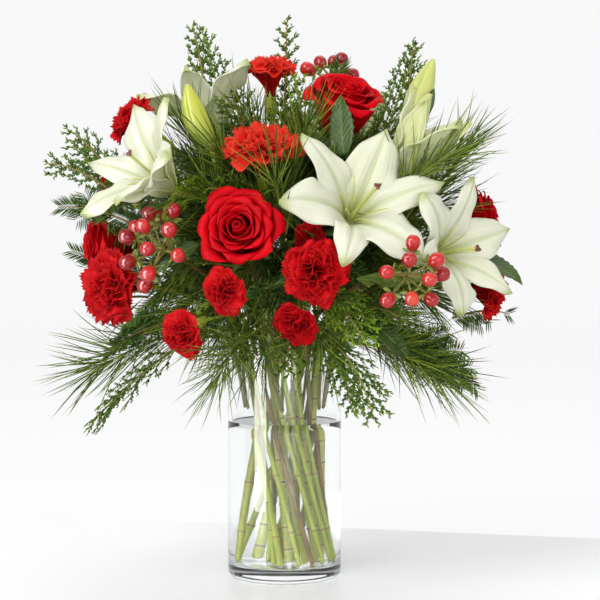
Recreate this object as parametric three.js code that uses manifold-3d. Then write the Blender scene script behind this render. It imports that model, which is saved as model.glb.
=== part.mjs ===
// A bouquet of carnations, roses, lilies, berries and winter greens in a tall glass cylinder of water.
// Millimetres, +Z up. The origin is the middle of the vase's underside, and -Y is the bouquet's front.
import * as THREE from 'three';
import { mergeVertices } from 'three/addons/utils/BufferGeometryUtils.js';
import Module from 'manifold-3d';

const wasm = await Module();
wasm.setup();

// ---------------------------------------------------------------- driving dimensions
const VASE_RADIUS = 51;
const VASE_HEIGHT = 203;
const VASE_WALL = 3.2;
const VASE_FLOOR = 13;
const VASE_FOOT_ROUND = 6;
const VASE_RIM_ROUND = 1.2;
const VASE_INNER_ROUND = 5;
const WATER_LEVEL = 140;
const CLEARANCE = 0.3; // between any two pieces that touch

const TWIST = 90; // degrees that a stem turns round the vase between its mouth and its foot
const ROSE_STEM = 3.0; // stem radii
const LILY_STEM = 3.6;
const LILY_PEDICEL = 2.4;
const CARNATION_STEM = 2.2;
const SPRAY_PEDICEL = 1.5;
const BERRY_STEM = 2.0;
const BERRY_PEDICEL = 0.9;
const TWIG = 1.7;
const SHORT_TWIG = 0.27; // how far a short twig reaches from the mouth towards the floor, as a share
const VASE_SEGMENTS = 36;
const STEM_SIDES = 7;
const TWIG_SIDES = 5;

const CALYX_RADIUS = 5.5;
const CALYX_LENGTH = 22;
const RECEPTACLE_RADIUS = 7;
const RECEPTACLE_LENGTH = 9;
const LILY_THROAT_RADIUS = 5;
const LILY_PETAL_THICKNESS = 1.8;
const BERRY_RADIUS = 5.8;
const FROND_THICKNESS = 1.8;
const FIR_THICKNESS = 5;
const FINENESS = 0.05; // how closely joined solids keep to their exact shape

const innerRadius = VASE_RADIUS - VASE_WALL;
const RINGS = {
  wall: innerRadius - TWIG - CLEARANCE,
  outer: 0.71 * innerRadius,
  middle: 0.47 * innerRadius,
  inner: 0.23 * innerRadius,
};

// ---------------------------------------------------------------- the arrangement
// Places are counted from the middle of the vase's mouth. A slot is where a stem passes the mouth: on one of
// four rings, at a bearing in degrees. Thin twigs lean on the wall, and the three rings inside hold the rest.
// A bloom's face is the middle of its open side, and facing is the way that side looks.
const BLOOMS = {
  rose_1: { kind: 'rose', face: [-38, -130, 112], facing: [-0.12, -0.95, 0.28], across: 80, deep: 50 },
  rose_2: { kind: 'rose', face: [57, -34, 237], facing: [0.22, -0.5, 0.84], across: 80, deep: 58 },
  rose_3: { kind: 'rose', face: [-176, -14, 98], facing: [-0.93, -0.36, 0.05], across: 62, deep: 46 },
  rose_4: { kind: 'rose', face: [190, 4, 125], facing: [0.9, -0.2, 0.38], across: 70, deep: 48 },
  rose_5: { kind: 'rose', face: [-28, 128, 149], facing: [-0.1, 0.88, 0.46], across: 72, deep: 50 },
  carnation_1: {
    kind: 'carnation', face: [27, -137, 73], facing: [0.05, -1, 0.04], across: 62, deep: 30,
  },
  carnation_2: { kind: 'carnation', face: [-47, -151, 58], facing: [-0.12, -1, 0], across: 43, deep: 24 },
  carnation_3: {
    kind: 'carnation', face: [-153, -66, 58], facing: [-0.66, -0.75, -0.04], across: 66, deep: 34,
  },
  carnation_4: {
    kind: 'carnation', face: [-84, -128, 20], facing: [-0.4, -0.86, -0.3], across: 46, deep: 26,
  },
  carnation_5: {
    kind: 'carnation', face: [-19, -84, 183], facing: [-0.05, -0.5, 0.86], across: 66, deep: 34,
  },
  carnation_6: {
    kind: 'carnation', face: [-14, 14, 259], facing: [-0.05, -0.2, 0.97], across: 56, deep: 30,
  },
  carnation_7: {
    kind: 'carnation', face: [-141, -6, 211], facing: [-0.78, -0.3, 0.55], across: 56, deep: 30,
  },
  carnation_8: {
    kind: 'carnation', face: [11, -112, 27], facing: [0, -0.88, -0.46], across: 46, deep: 26,
  },
  carnation_9: {
    kind: 'carnation', face: [-166, 44, 142], facing: [-0.93, 0.25, 0.26], across: 50, deep: 28,
  },
  carnation_10: {
    kind: 'carnation', face: [188, -24, 54], facing: [0.94, -0.3, -0.14], across: 54, deep: 30,
  },
  carnation_11: {
    kind: 'carnation', face: [92, 118, 97], facing: [0.6, 0.78, 0.2], across: 62, deep: 32,
  },
  carnation_12: { kind: 'carnation', face: [22, -98, 100], facing: [0, -0.98, 0.2], across: 34, deep: 22 },
  lily_1: {
    kind: 'lily', face: [69, -118, 137], facing: [0.3, -0.82, 0.48], petal: 93, width: 34,
    opens: [14, 96], roll: 26,
  },
  lily_2: {
    kind: 'lily', face: [-137, -99, 173], facing: [-0.7, -0.5, 0.5], petal: 84, width: 32,
    opens: [12, 74], roll: 10,
  },
  lily_3: {
    kind: 'lily', face: [160, -96, 97], facing: [0.66, -0.72, 0.22], petal: 80, width: 31,
    opens: [12, 84], roll: 0,
  },
  lily_4: {
    kind: 'lily', face: [-84, 22, 249], facing: [-0.34, 0.1, 0.94], petal: 84, width: 31, opens: [12, 66],
    roll: 30,
  },
  lily_5: {
    kind: 'lily', face: [58, 132, 205], facing: [0.26, 0.8, 0.54], petal: 84, width: 32, opens: [14, 88],
    roll: 0,
  },
  lily_half_open: {
    kind: 'lily', face: [138, -64, 215], facing: [0.54, -0.2, 0.82], petal: 90, width: 28,
    opens: [24, 14], roll: 0,
  },
  lily_bud_1: { kind: 'bud', face: [-82, -86, 231], facing: [-0.36, -0.1, 0.93], across: 22, deep: 52 },
  lily_bud_2: { kind: 'bud', face: [134, 10, 263], facing: [0.24, 0.1, 0.96], across: 26, deep: 74 },
};

// A stem's fork is where its blooms' own stalks part. A leaf stands out from the stem part of the way up.
const STEMS = {
  rose_1_stem: { slot: ['middle', -134], radius: ROSE_STEM, blooms: ['rose_1'] },
  rose_2_stem: { slot: ['inner', -40], radius: ROSE_STEM, blooms: ['rose_2'] },
  rose_3_stem: { slot: ['outer', 176], radius: ROSE_STEM, blooms: ['rose_3'] },
  rose_4_stem: { slot: ['outer', 14], radius: ROSE_STEM, blooms: ['rose_4'] },
  rose_5_stem: { slot: ['outer', 96], radius: ROSE_STEM, blooms: ['rose_5'] },
  carnation_1_stem: {
    slot: ['outer', -78], radius: CARNATION_STEM, fork: [16, -62, 42],
    blooms: ['carnation_1', 'carnation_12'],
  },
  carnation_2_stem: {
    slot: ['outer', -118], radius: CARNATION_STEM, fork: [-46, -84, 33],
    blooms: ['carnation_2', 'carnation_4'],
  },
  carnation_3_stem: { slot: ['outer', -158], radius: CARNATION_STEM, blooms: ['carnation_3'] },
  carnation_5_stem: { slot: ['middle', -98], radius: CARNATION_STEM, blooms: ['carnation_5'] },
  carnation_6_stem: { slot: ['inner', 88], radius: CARNATION_STEM, blooms: ['carnation_6'] },
  carnation_7_stem: {
    slot: ['middle', 160], radius: CARNATION_STEM, fork: [-84, 22, 117],
    blooms: ['carnation_7', 'carnation_9'],
  },
  carnation_8_stem: { slot: ['outer', -98], radius: CARNATION_STEM, blooms: ['carnation_8'] },
  carnation_10_stem: { slot: ['outer', -8], radius: CARNATION_STEM, blooms: ['carnation_10'] },
  carnation_11_stem: { slot: ['outer', 54], radius: CARNATION_STEM, blooms: ['carnation_11'] },
  lily_1_stem: {
    slot: ['middle', -62], radius: LILY_STEM, fork: [50, -40, 97],
    blooms: ['lily_1', 'lily_half_open', 'lily_bud_2'],
  },
  lily_2_stem: {
    slot: ['inner', 200], radius: LILY_STEM, fork: [-50, -18, 127],
    blooms: ['lily_2', 'lily_4', 'lily_bud_1'],
  },
  lily_3_stem: { slot: ['outer', -32], radius: LILY_STEM, blooms: ['lily_3'] },
  lily_5_stem: { slot: ['middle', 50], radius: LILY_STEM, blooms: ['lily_5'] },
};

// Berry sprigs: the berries sit in a loose dome of the given spread round the end of the sprig.
const BERRIES = {
  berry_sprig_1: {
    slot: ['outer', -138], end: [-98, -100, 91], leaving: [-0.7, -0.6, 0.4], spread: 34, count: 13,
  },
  berry_sprig_2: {
    slot: ['outer', -54], end: [102, -132, 70], leaving: [0.3, -0.95, 0.0], spread: 28, count: 9,
  },
  berry_sprig_3: {
    slot: ['inner', 10], end: [42, 58, 249], leaving: [0.1, 0.1, 1], spread: 22, count: 6,
  },
};

// Greens: a twig runs from the vase to its tip by way of a bend, with foliage on its outer share.
const GREENS = {
  pine_1: {
    kind: 'pine', slot: ['wall', -112], bend: [-36, -126, 33], tip: [-62, -168, -39], foliage: 0.5,
    width: 22,
  },
  pine_2: {
    kind: 'pine', slot: ['wall', -48], bend: [96, -86, 33], tip: [146, -112, -33], foliage: 0.42,
    width: 22,
  },
  pine_3: {
    kind: 'pine', slot: ['wall', -172], bend: [-116, -40, 23], tip: [-186, -64, -27], foliage: 0.45,
    width: 22,
  },
  pine_4: {
    kind: 'pine', slot: ['wall', -18], bend: [120, -10, 127], tip: [176, -50, 201], foliage: 0.36,
    width: 18,
  },
  cedar_1: {
    kind: 'cedar', slot: ['inner', 140], bend: [-50, 96, 187], tip: [-80, 102, 303], foliage: 0.42,
    width: 34, side: [1, 0.2, 0],
  },
  cedar_2: {
    kind: 'cedar', slot: ['middle', 2], bend: [96, 44, 187], tip: [122, 50, 283], foliage: 0.42,
    width: 34, side: [1, -0.2, 0],
  },
  cedar_3: {
    kind: 'cedar', slot: ['wall', 168], bend: [-118, 112, 147], tip: [-204, 76, 189], foliage: 0.4,
    width: 40, side: [0.2, -0.4, 1],
  },
  cedar_4: {
    kind: 'cedar', slot: ['wall', -146], bend: [-112, -84, 7], tip: [-166, -92, -61], foliage: 0.5,
    width: 34, side: [0.5, -0.3, 0.8],
  },
  cedar_5: {
    kind: 'cedar', slot: ['wall', -66], bend: [60, -112, 19], tip: [74, -142, -47], foliage: 0.55,
    width: 46, side: [1, 0.3, 0],
  },
  fir_1: {
    kind: 'fir', slot: ['wall', 152], bend: [-130, 66, 65], tip: [-206, 46, 93], foliage: 0.4, width: 30,
    side: [0.2, -0.3, 0.9],
  },
  fir_2: {
    kind: 'fir', slot: ['wall', -30], bend: [120, -30, 35], tip: [172, -60, -35], foliage: 0.45,
    width: 34, side: [0.3, -0.6, 0.7],
  },
  fir_3: {
    kind: 'fir', slot: ['wall', 60], bend: [40, 120, 27], tip: [60, 170, -13], foliage: 0.5, width: 34,
    side: [1, -0.2, 0],
  },
};

const paint = (color, roughness, opacity = 1) =>
  new THREE.MeshStandardMaterial({ color, roughness, metalness: 0, opacity, transparent: opacity < 1 });
const FINISHES = {
  glass: () => paint(0xf2f6f7, 0.02, 0.3),
  water: () => paint(0xe6eef0, 0.02, 0.3),
  rose: () => paint(0xb0081a, 0.55),
  carnation: () => paint(0xc4141f, 0.65),
  lily: () => paint(0xeceddc, 0.5),
  bud: () => paint(0xb7bf2c, 0.5),
  stem: () => paint(0x86a52e, 0.5),
  berry: () => paint(0x9e1420, 0.2),
  pine: () => paint(0x4e6b25, 0.6),
  cedar: () => paint(0x5c8a2f, 0.6),
  fir: () => paint(0x3e5a26, 0.6),
};

// ---------------------------------------------------------------- solids from geometry
const way = (xyz) => new THREE.Vector3(...xyz).normalize();
const above = ([x, y, z]) => new THREE.Vector3(x, y, VASE_HEIGHT + z);
const radians = THREE.MathUtils.degToRad;

/** A closed geometry as a manifold solid. */
function solidOf(geometry) {
  geometry.deleteAttribute('normal');
  geometry.deleteAttribute('uv');
  const merged = mergeVertices(geometry, 1e-4);
  return new wasm.Manifold(new wasm.Mesh({
    numProp: 3,
    vertProperties: new Float32Array(merged.attributes.position.array),
    triVerts: new Uint32Array(merged.index.array),
  }));
}

/** A manifold solid as a geometry again. */
function geometryOf(solid) {
  const { vertProperties, triVerts } = solid.getMesh();
  return new THREE.BufferGeometry()
    .setAttribute('position', new THREE.BufferAttribute(new Float32Array(vertProperties), 3))
    .setIndex(new THREE.BufferAttribute(new Uint32Array(triVerts), 1));
}

/** The solids joined, as one body or several. */
const joined = (solids) => solids.reduce((whole, next) => whole.add(next));

/** The largest of the separate bodies of a solid, with no slits left inside it. */
const largest = (solid) => solid.decompose().reduce((a, b) => (a.volume() > b.volume() ? a : b));

/** Solids that grow together, as one body. */
const grown = (solids) => largest(joined(solids).simplify(FINENESS));

/** A profile of [radius, height] points turned about +Z. */
const turned = (profile, segments) =>
  new THREE.LatheGeometry(profile.map(([r, h]) => new THREE.Vector2(r, h)), segments).rotateX(Math.PI / 2);

/** Moves a geometry that stands on the origin along +Z to a place, so that +Z looks along facing. */
function stood(geometry, place, facing) {
  const turn = new THREE.Quaternion().setFromUnitVectors(new THREE.Vector3(0, 0, 1), facing);
  return geometry.applyQuaternion(turn).translate(place.x, place.y, place.z);
}

/** Bends a geometry that runs from z = 0 to z = 1 along a curve. Its x lies along side, its y across that. */
function bent(geometry, curve, side) {
  const place = geometry.attributes.position;
  const vertex = new THREE.Vector3();
  for (let i = 0; i < place.count; i++) {
    vertex.fromBufferAttribute(place, i);
    const along = THREE.MathUtils.clamp(vertex.z, 0, 1);
    const tangent = curve.getTangent(along);
    const across = side.clone().addScaledVector(tangent, -side.dot(tangent)).normalize();
    const normal = tangent.clone().cross(across);
    const centre = curve.getPoint(along);
    centre.addScaledVector(across, vertex.x).addScaledVector(normal, vertex.y);
    place.setXYZ(i, centre.x, centre.y, centre.z);
  }
  return geometry;
}

/** A curve through points, straight between each two, which tubes follow with a step at each point. */
class Route extends THREE.Curve {
  constructor(points) {
    super();
    this.points = points;
  }

  getPoint(t, target = new THREE.Vector3()) {
    const scaled = THREE.MathUtils.clamp(t, 0, 1) * (this.points.length - 1);
    const index = Math.min(Math.floor(scaled), this.points.length - 2);
    return target.lerpVectors(this.points[index], this.points[index + 1], scaled - index);
  }

  getPointAt(t, target) {
    return this.getPoint(t, target);
  }

  getTangentAt(t, target) {
    return this.getTangent(t, target);
  }
}

/** A round tube along points. */
function tube(points, radius, sides) {
  const ring = Array.from({ length: sides }, (_, i) => {
    const angle = (2 * Math.PI * i) / sides;
    return new THREE.Vector2(radius * Math.cos(angle), radius * Math.sin(angle));
  });
  return solidOf(new THREE.ExtrudeGeometry(new THREE.Shape(ring), {
    steps: points.length - 1,
    extrudePath: new Route(points),
    bevelEnabled: false,
  }));
}

// ---------------------------------------------------------------- vase
/** The profile of a quarter round from one bearing to another, both in degrees. */
function quarter(centreR, centreZ, radius, from, to, steps = 2) {
  return Array.from({ length: steps + 1 }, (_, i) => {
    const angle = radians(THREE.MathUtils.lerp(from, to, i / steps));
    return [centreR + radius * Math.cos(angle), centreZ + radius * Math.sin(angle)];
  });
}

function vaseGeometry() {
  const profile = [
    [0, 0],
    ...quarter(VASE_RADIUS - VASE_FOOT_ROUND, VASE_FOOT_ROUND, VASE_FOOT_ROUND, -90, 0),
    ...quarter(VASE_RADIUS - VASE_RIM_ROUND, VASE_HEIGHT - VASE_RIM_ROUND, VASE_RIM_ROUND, 0, 90),
    ...quarter(innerRadius + VASE_RIM_ROUND, VASE_HEIGHT - VASE_RIM_ROUND, VASE_RIM_ROUND, 90, 180),
    ...quarter(innerRadius - VASE_INNER_ROUND, VASE_FLOOR + VASE_INNER_ROUND, VASE_INNER_ROUND, 0, -90),
    [0, VASE_FLOOR],
  ];
  return turned(profile, VASE_SEGMENTS);
}

// ---------------------------------------------------------------- stems
/** Where a slot's stem is at the vase's mouth, and at its foot on the vase's floor. */
function mouthOf([ring, bearing]) {
  const angle = radians(bearing);
  return new THREE.Vector3(RINGS[ring] * Math.cos(angle), RINGS[ring] * Math.sin(angle), VASE_HEIGHT);
}

function footOf([ring, bearing], stemRadius) {
  const angle = radians(bearing + TWIST);
  const reach = Math.min(RINGS[ring], innerRadius - VASE_INNER_ROUND - stemRadius);
  const lift = VASE_FLOOR + CLEARANCE + 0.35 * stemRadius;
  return new THREE.Vector3(reach * Math.cos(angle), reach * Math.sin(angle), lift);
}

/** A smooth run from one place to another that leaves and arrives in the given directions. */
function run(from, leaving, to, arriving) {
  const apart = from.distanceTo(to);
  return new THREE.CubicBezierCurve3(
    from,
    from.clone().addScaledVector(leaving, apart * 0.38),
    to.clone().addScaledVector(arriving, -apart * 0.28),
    to,
  );
}

/** Where a bloom's stalk ends: behind its face by its depth and the clearance. */
function seatOf(bloom) {
  const facing = way(bloom.facing);
  const depth = bloom.kind === 'lily' ? lilyDepth(bloom) : bloom.deep;
  return above(bloom.face).addScaledVector(facing, -depth - CLEARANCE);
}

/** The calyx of a carnation, or the small swelling under any other bloom, at the end of its stalk. */
function cupUnder(bloom, stalkRadius) {
  const facing = way(bloom.facing);
  const [radius, length] = bloom.kind === 'carnation'
    ? [CALYX_RADIUS * Math.min(1, bloom.across / 56), CALYX_LENGTH * Math.min(1, bloom.across / 56)]
    : bloom.kind === 'rose' ? [RECEPTACLE_RADIUS, RECEPTACLE_LENGTH] : [LILY_THROAT_RADIUS, 7];
  const profile = [[0, 0], [stalkRadius * 0.9, 0], [radius, length * 0.4], [radius, length], [0, length]];
  return solidOf(stood(turned(profile, STEM_SIDES), seatOf(bloom).addScaledVector(facing, -length), facing));
}

/** A cut stem: straight in the vase, then bending to its bloom, or to a fork and on to each of several. */
function stemSolid({ slot, radius, fork, blooms }) {
  const foot = footOf(slot, radius);
  const mouth = mouthOf(slot);
  const rising = mouth.clone().sub(foot).normalize();
  const ends = blooms.map((name) => {
    const bloom = BLOOMS[name];
    const facing = way(bloom.facing);
    return { bloom, facing, stalkEnd: seatOf(bloom).addScaledVector(facing, -3) };
  });
  const straight = [foot, mouth.clone().addScaledVector(rising, -1)];
  if (!fork) {
    const [{ bloom, stalkEnd, facing }] = ends;
    const points = [...straight, ...run(mouth, rising, stalkEnd, facing).getPoints(6)];
    return grown([tube(points, radius, STEM_SIDES), cupUnder(bloom, radius)]);
  }
  const forkPoint = above(fork);
  const onward = forkPoint.clone().sub(mouth).normalize();
  const trunkPoints = [...straight, ...run(mouth, rising, forkPoint, onward).getPoints(4)];
  const trunk = tube(trunkPoints, radius, STEM_SIDES);
  const pedicel = radius === LILY_STEM ? LILY_PEDICEL : SPRAY_PEDICEL;
  const start = forkPoint.clone().addScaledVector(onward, -radius);
  const stalks = ends.map(({ bloom, stalkEnd, facing }) => {
    const points = run(start, onward, stalkEnd, facing).getPoints(5);
    return tube(points, pedicel, TWIG_SIDES).add(cupUnder(bloom, pedicel));
  });
  return grown([trunk, ...stalks]);
}

// ---------------------------------------------------------------- blooms, standing on the origin along +Z
/** A ruffled dome of petals. */
function carnationGeometry({ across, deep }) {
  const radius = across / 2;
  const profile = [
    [0, 0], [0.2 * radius, 0], [0.62 * radius, 0.42 * deep], [radius, 0.72 * deep],
    [0.94 * radius, 0.98 * deep], [0.5 * radius, 1.14 * deep], [0, 1.18 * deep],
  ];
  const geometry = turned(profile, 18);
  const place = geometry.attributes.position;
  for (let i = 0; i < place.count; i++) {
    const bearing = Math.atan2(place.getY(i), place.getX(i));
    const out = Math.hypot(place.getX(i), place.getY(i)) / radius;
    const ruffle = 1 - 0.05 * out * (1 - Math.cos(9 * bearing));
    place.setXY(i, place.getX(i) * ruffle, place.getY(i) * ruffle);
  }
  return geometry;
}

/** A full rose: a deep cup with its rim rolled out, and a raised heart inside. */
function roseGeometry({ across, deep }) {
  const radius = across / 2;
  return turned([
    [0, 0], [0.2 * radius, 0], [0.7 * radius, 0.3 * deep], [0.82 * radius, 0.62 * deep], [radius, 0.9 * deep],
    [0.92 * radius, 0.98 * deep], [0.62 * radius, 0.9 * deep], [0.42 * radius, deep], [0, 1.02 * deep],
  ], 16);
}

/** A closed lily bud: a spindle with six shallow sides. */
function budGeometry({ across, deep }) {
  const radius = across / 2;
  return turned([
    [0, 0], [0.42 * radius, 0], [0.95 * radius, 0.26 * deep], [radius, 0.5 * deep],
    [0.72 * radius, 0.8 * deep], [0.2 * radius, deep], [0, deep],
  ], 12);
}

/** A petal's centreline in the plane of its bearing: an arc from one angle off the axis to another. */
class PetalArc extends THREE.Curve {
  constructor({ petal, opens }, bearing, root = LILY_THROAT_RADIUS * 0.5) {
    super();
    this.root = root;
    [this.first, this.last] = opens.map(radians);
    this.bend = petal / (this.last - this.first);
    this.out = new THREE.Vector3(Math.cos(bearing), Math.sin(bearing), 0);
  }

  getPoint(t, target = new THREE.Vector3()) {
    const angle = THREE.MathUtils.lerp(this.first, this.last, t);
    const out = this.root + this.bend * (Math.cos(this.first) - Math.cos(angle));
    const up = LILY_PETAL_THICKNESS / 4 + this.bend * (Math.sin(angle) - Math.sin(this.first));
    return target.copy(this.out).multiplyScalar(out).setZ(up);
  }
}

/** How far in front of its seat a lily's petal tips reach. */
function lilyDepth(bloom) {
  return new PetalArc(bloom, 0).getPoint(1).z;
}

/** A lily: three broad petals, and three narrower ones behind the gaps, round a short throat. */
function lilyGeometry(bloom) {
  const petals = Array.from({ length: 6 }, (_, index) => {
    const bearing = radians(60 * index + bloom.roll);
    const root = LILY_THROAT_RADIUS * 0.5 + (index % 2 ? 0 : 1.7 * LILY_PETAL_THICKNESS);
    const blade = new THREE.BoxGeometry(1, LILY_PETAL_THICKNESS, 1, 1, 1, 4).translate(0, 0, 0.5);
    const place = blade.attributes.position;
    for (let i = 0; i < place.count; i++) {
      const along = place.getZ(i);
      const share = 0.1 + 0.9 * Math.sin(Math.PI * Math.min(1, along + 0.03) ** 0.9);
      place.setX(i, place.getX(i) * bloom.width * (index % 2 ? 1 : 0.82) * share);
    }
    const side = new THREE.Vector3(-Math.sin(bearing), Math.cos(bearing), 0);
    return solidOf(bent(blade, new PetalArc(bloom, bearing, root), side));
  });
  const throat = solidOf(turned([
    [0, 0], [LILY_THROAT_RADIUS, 0], [LILY_THROAT_RADIUS * 1.3, 9], [0, 9],
  ], 8));
  return geometryOf(grown([throat, ...petals]));
}

const BLOOM_GEOMETRY = {
  carnation: carnationGeometry,
  rose: roseGeometry,
  bud: budGeometry,
  lily: lilyGeometry,
};

function bloomMesh(name) {
  const bloom = BLOOMS[name];
  const facing = way(bloom.facing);
  const mesh = new THREE.Mesh(BLOOM_GEOMETRY[bloom.kind](bloom), FINISHES[bloom.kind]());
  mesh.name = name;
  mesh.position.copy(seatOf(bloom).addScaledVector(facing, CLEARANCE));
  mesh.quaternion.setFromUnitVectors(new THREE.Vector3(0, 0, 1), facing);
  return mesh;
}

// ---------------------------------------------------------------- berries
const GOLDEN_ANGLE = Math.PI * (3 - Math.sqrt(5));

/** A berry sprig: a woody stem whose end carries berries on short stalks. */
function berrySprigSolid({ slot, end, leaving, spread, count }) {
  const foot = footOf(slot, BERRY_STEM);
  const mouth = mouthOf(slot);
  const rising = mouth.clone().sub(foot).normalize();
  const heading = way(leaving);
  const top = above(end);
  const straight = [foot, mouth.clone().addScaledVector(rising, -1)];
  const stemPoints = [...straight, ...run(mouth, rising, top, heading).getPoints(6)];
  const pieces = [tube(stemPoints, BERRY_STEM, TWIG_SIDES)];
  const turn = new THREE.Quaternion().setFromUnitVectors(new THREE.Vector3(0, 0, 1), heading);
  for (let i = 0; i < count; i++) {
    const tilt = Math.acos(1 - (0.9 * (i + 0.5)) / count);
    const bearing = i * GOLDEN_ANGLE;
    const out = new THREE.Vector3(
      Math.sin(tilt) * Math.cos(bearing), Math.sin(tilt) * Math.sin(bearing), Math.cos(tilt),
    ).applyQuaternion(turn);
    const place = top.clone().addScaledVector(out, spread);
    pieces.push(tube([top, place], BERRY_PEDICEL, 3));
    const berry = turned([
      [0, -BERRY_RADIUS], [BERRY_RADIUS * 0.9, -BERRY_RADIUS * 0.45],
      [BERRY_RADIUS * 0.9, BERRY_RADIUS * 0.55], [0, BERRY_RADIUS * 1.2],
    ], 6);
    pieces.push(solidOf(stood(berry, place, out)));
  }
  return grown(pieces);
}

// ---------------------------------------------------------------- greens
/** The outer share of a curve, as a curve of its own. */
class OuterShare extends THREE.Curve {
  constructor(curve, share) {
    super();
    this.curve = curve;
    this.start = 1 - share;
  }

  getPoint(t, target) {
    return this.curve.getPoint(THREE.MathUtils.lerp(this.start, 1, t), target);
  }
}

/** A flat spray of foliage with notched edges, from z = 0 to z = 1. */
function sprayGeometry(width, thickness, notches) {
  const steps = notches * 2;
  const blade = new THREE.BoxGeometry(1, thickness, 1, 1, 1, steps).translate(0, 0, 0.5);
  const place = blade.attributes.position;
  for (let i = 0; i < place.count; i++) {
    const along = place.getZ(i);
    const body = Math.sin(Math.PI * Math.min(1, 0.12 + 0.86 * along)) ** 0.6;
    const notch = Math.round(along * steps) % 2 ? 0.72 : 1;
    place.setX(i, place.getX(i) * Math.max(0.12, body * notch) * width);
  }
  return blade;
}

/** A spindle of needles, from z = 0 to z = 1. */
const needleBrush = (width) => turned([
  [0, 0], [0.3 * width, 0.02], [0.5 * width, 0.3], [0.46 * width, 0.7], [0.2 * width, 0.98], [0, 1],
], 8);

const FOLIAGE = {
  pine: ({ width }) => needleBrush(width),
  cedar: ({ width }) => sprayGeometry(width, FROND_THICKNESS, 4),
  fir: ({ width }) => sprayGeometry(width, FIR_THICKNESS, 4),
};

/** Where a twig ends in the vase: just below the mouth where it leans on the glass, otherwise on the floor. */
function twigFoot({ slot }) {
  const foot = footOf(slot, TWIG);
  return slot[0] === 'wall' ? mouthOf(slot).lerp(foot, SHORT_TWIG) : foot;
}

/** A sprig of greens: its twig from the vase to its tip, with the foliage on the outer share. */
function greenSolid(green) {
  const foot = twigFoot(green);
  const mouth = mouthOf(green.slot);
  const rising = mouth.clone().sub(foot).normalize();
  const bend = above(green.bend);
  const tip = above(green.tip);
  const reach = mouth.distanceTo(bend) * 0.4;
  const upper = new THREE.CubicBezierCurve3(mouth, mouth.clone().addScaledVector(rising, reach), bend, tip);
  const straight = [foot, mouth.clone().addScaledVector(rising, -1)];
  const twig = tube([...straight, ...upper.getPoints(8)], TWIG, TWIG_SIDES);
  const side = way(green.side ?? [1, 0, 0]);
  const foliage = solidOf(bent(FOLIAGE[green.kind](green), new OuterShare(upper, green.foliage), side));
  return grown([twig, foliage]);
}

// ---------------------------------------------------------------- water
/** The stem of a slot as it runs through the water, with the clearance all round. */
function stemHole(slot, radius, sides) {
  const foot = footOf(slot, radius);
  const along = mouthOf(slot).sub(foot);
  const below = foot.clone().addScaledVector(along, -0.02);
  return tube([below, foot.clone().add(along)], radius + CLEARANCE / Math.cos(Math.PI / sides), sides);
}

function waterSolid() {
  const radius = innerRadius - CLEARANCE;
  const floor = VASE_FLOOR + CLEARANCE;
  const body = solidOf(turned([
    [0, floor],
    ...quarter(radius - VASE_INNER_ROUND, floor + VASE_INNER_ROUND, VASE_INNER_ROUND, -90, 0),
    [radius, WATER_LEVEL],
    [0, WATER_LEVEL],
  ], VASE_SEGMENTS));
  const holes = [
    ...Object.values(STEMS).map(({ slot, radius: r }) => stemHole(slot, r, STEM_SIDES)),
    ...Object.values(BERRIES).map(({ slot }) => stemHole(slot, BERRY_STEM, TWIG_SIDES)),
    ...Object.values(GREENS).filter((green) => twigFoot(green).z < WATER_LEVEL)
      .map(({ slot }) => stemHole(slot, TWIG, TWIG_SIDES)),
  ];
  return largest(body.subtract(joined(holes)));
}

// ---------------------------------------------------------------- the bouquet
const bouquet = new THREE.Group();

function place(name, geometry, finish) {
  const mesh = new THREE.Mesh(geometry, FINISHES[finish]());
  mesh.name = name;
  bouquet.add(mesh);
}

place('vase', vaseGeometry(), 'glass');
place('water', geometryOf(waterSolid()), 'water');
Object.entries(STEMS).forEach(([name, stem]) => place(name, geometryOf(stemSolid(stem)), 'stem'));
Object.keys(BLOOMS).forEach((name) => bouquet.add(bloomMesh(name)));
Object.entries(BERRIES).forEach(([name, sprig]) => place(name, geometryOf(berrySprigSolid(sprig)), 'berry'));
Object.entries(GREENS).forEach(([name, green]) => place(name, geometryOf(greenSolid(green)), green.kind));

export default bouquet;
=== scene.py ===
"""A bouquet of carnations, roses, lilies, berries and winter greens in a glass cylinder of water."""

import math

import bpy
import numpy as np
from bpy.props import FloatProperty, IntProperty, PointerProperty
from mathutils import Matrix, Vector


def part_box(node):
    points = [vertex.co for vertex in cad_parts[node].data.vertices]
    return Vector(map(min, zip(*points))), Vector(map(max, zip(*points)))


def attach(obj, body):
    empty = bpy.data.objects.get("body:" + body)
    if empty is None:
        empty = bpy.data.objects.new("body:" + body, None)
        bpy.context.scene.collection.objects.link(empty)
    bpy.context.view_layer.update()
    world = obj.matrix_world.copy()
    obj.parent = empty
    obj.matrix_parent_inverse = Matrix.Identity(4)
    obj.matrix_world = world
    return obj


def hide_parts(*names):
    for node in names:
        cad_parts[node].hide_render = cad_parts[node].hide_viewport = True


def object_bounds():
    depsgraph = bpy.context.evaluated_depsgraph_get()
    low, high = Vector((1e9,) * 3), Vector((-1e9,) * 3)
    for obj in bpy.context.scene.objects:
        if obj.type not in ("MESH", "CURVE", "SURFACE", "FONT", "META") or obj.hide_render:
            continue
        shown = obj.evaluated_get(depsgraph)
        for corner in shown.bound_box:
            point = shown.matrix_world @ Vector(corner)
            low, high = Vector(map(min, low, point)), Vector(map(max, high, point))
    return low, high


bl_info = {
    "name": "Winter Bouquet",
    "version": (1, 0, 0),
    "blender": (4, 5, 0),
    "location": "3D View > Sidebar > Bouquet",
    "description": "Builds a bouquet of carnations, roses and lilies in a glass cylinder of water",
    "category": "Object",
}

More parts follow.
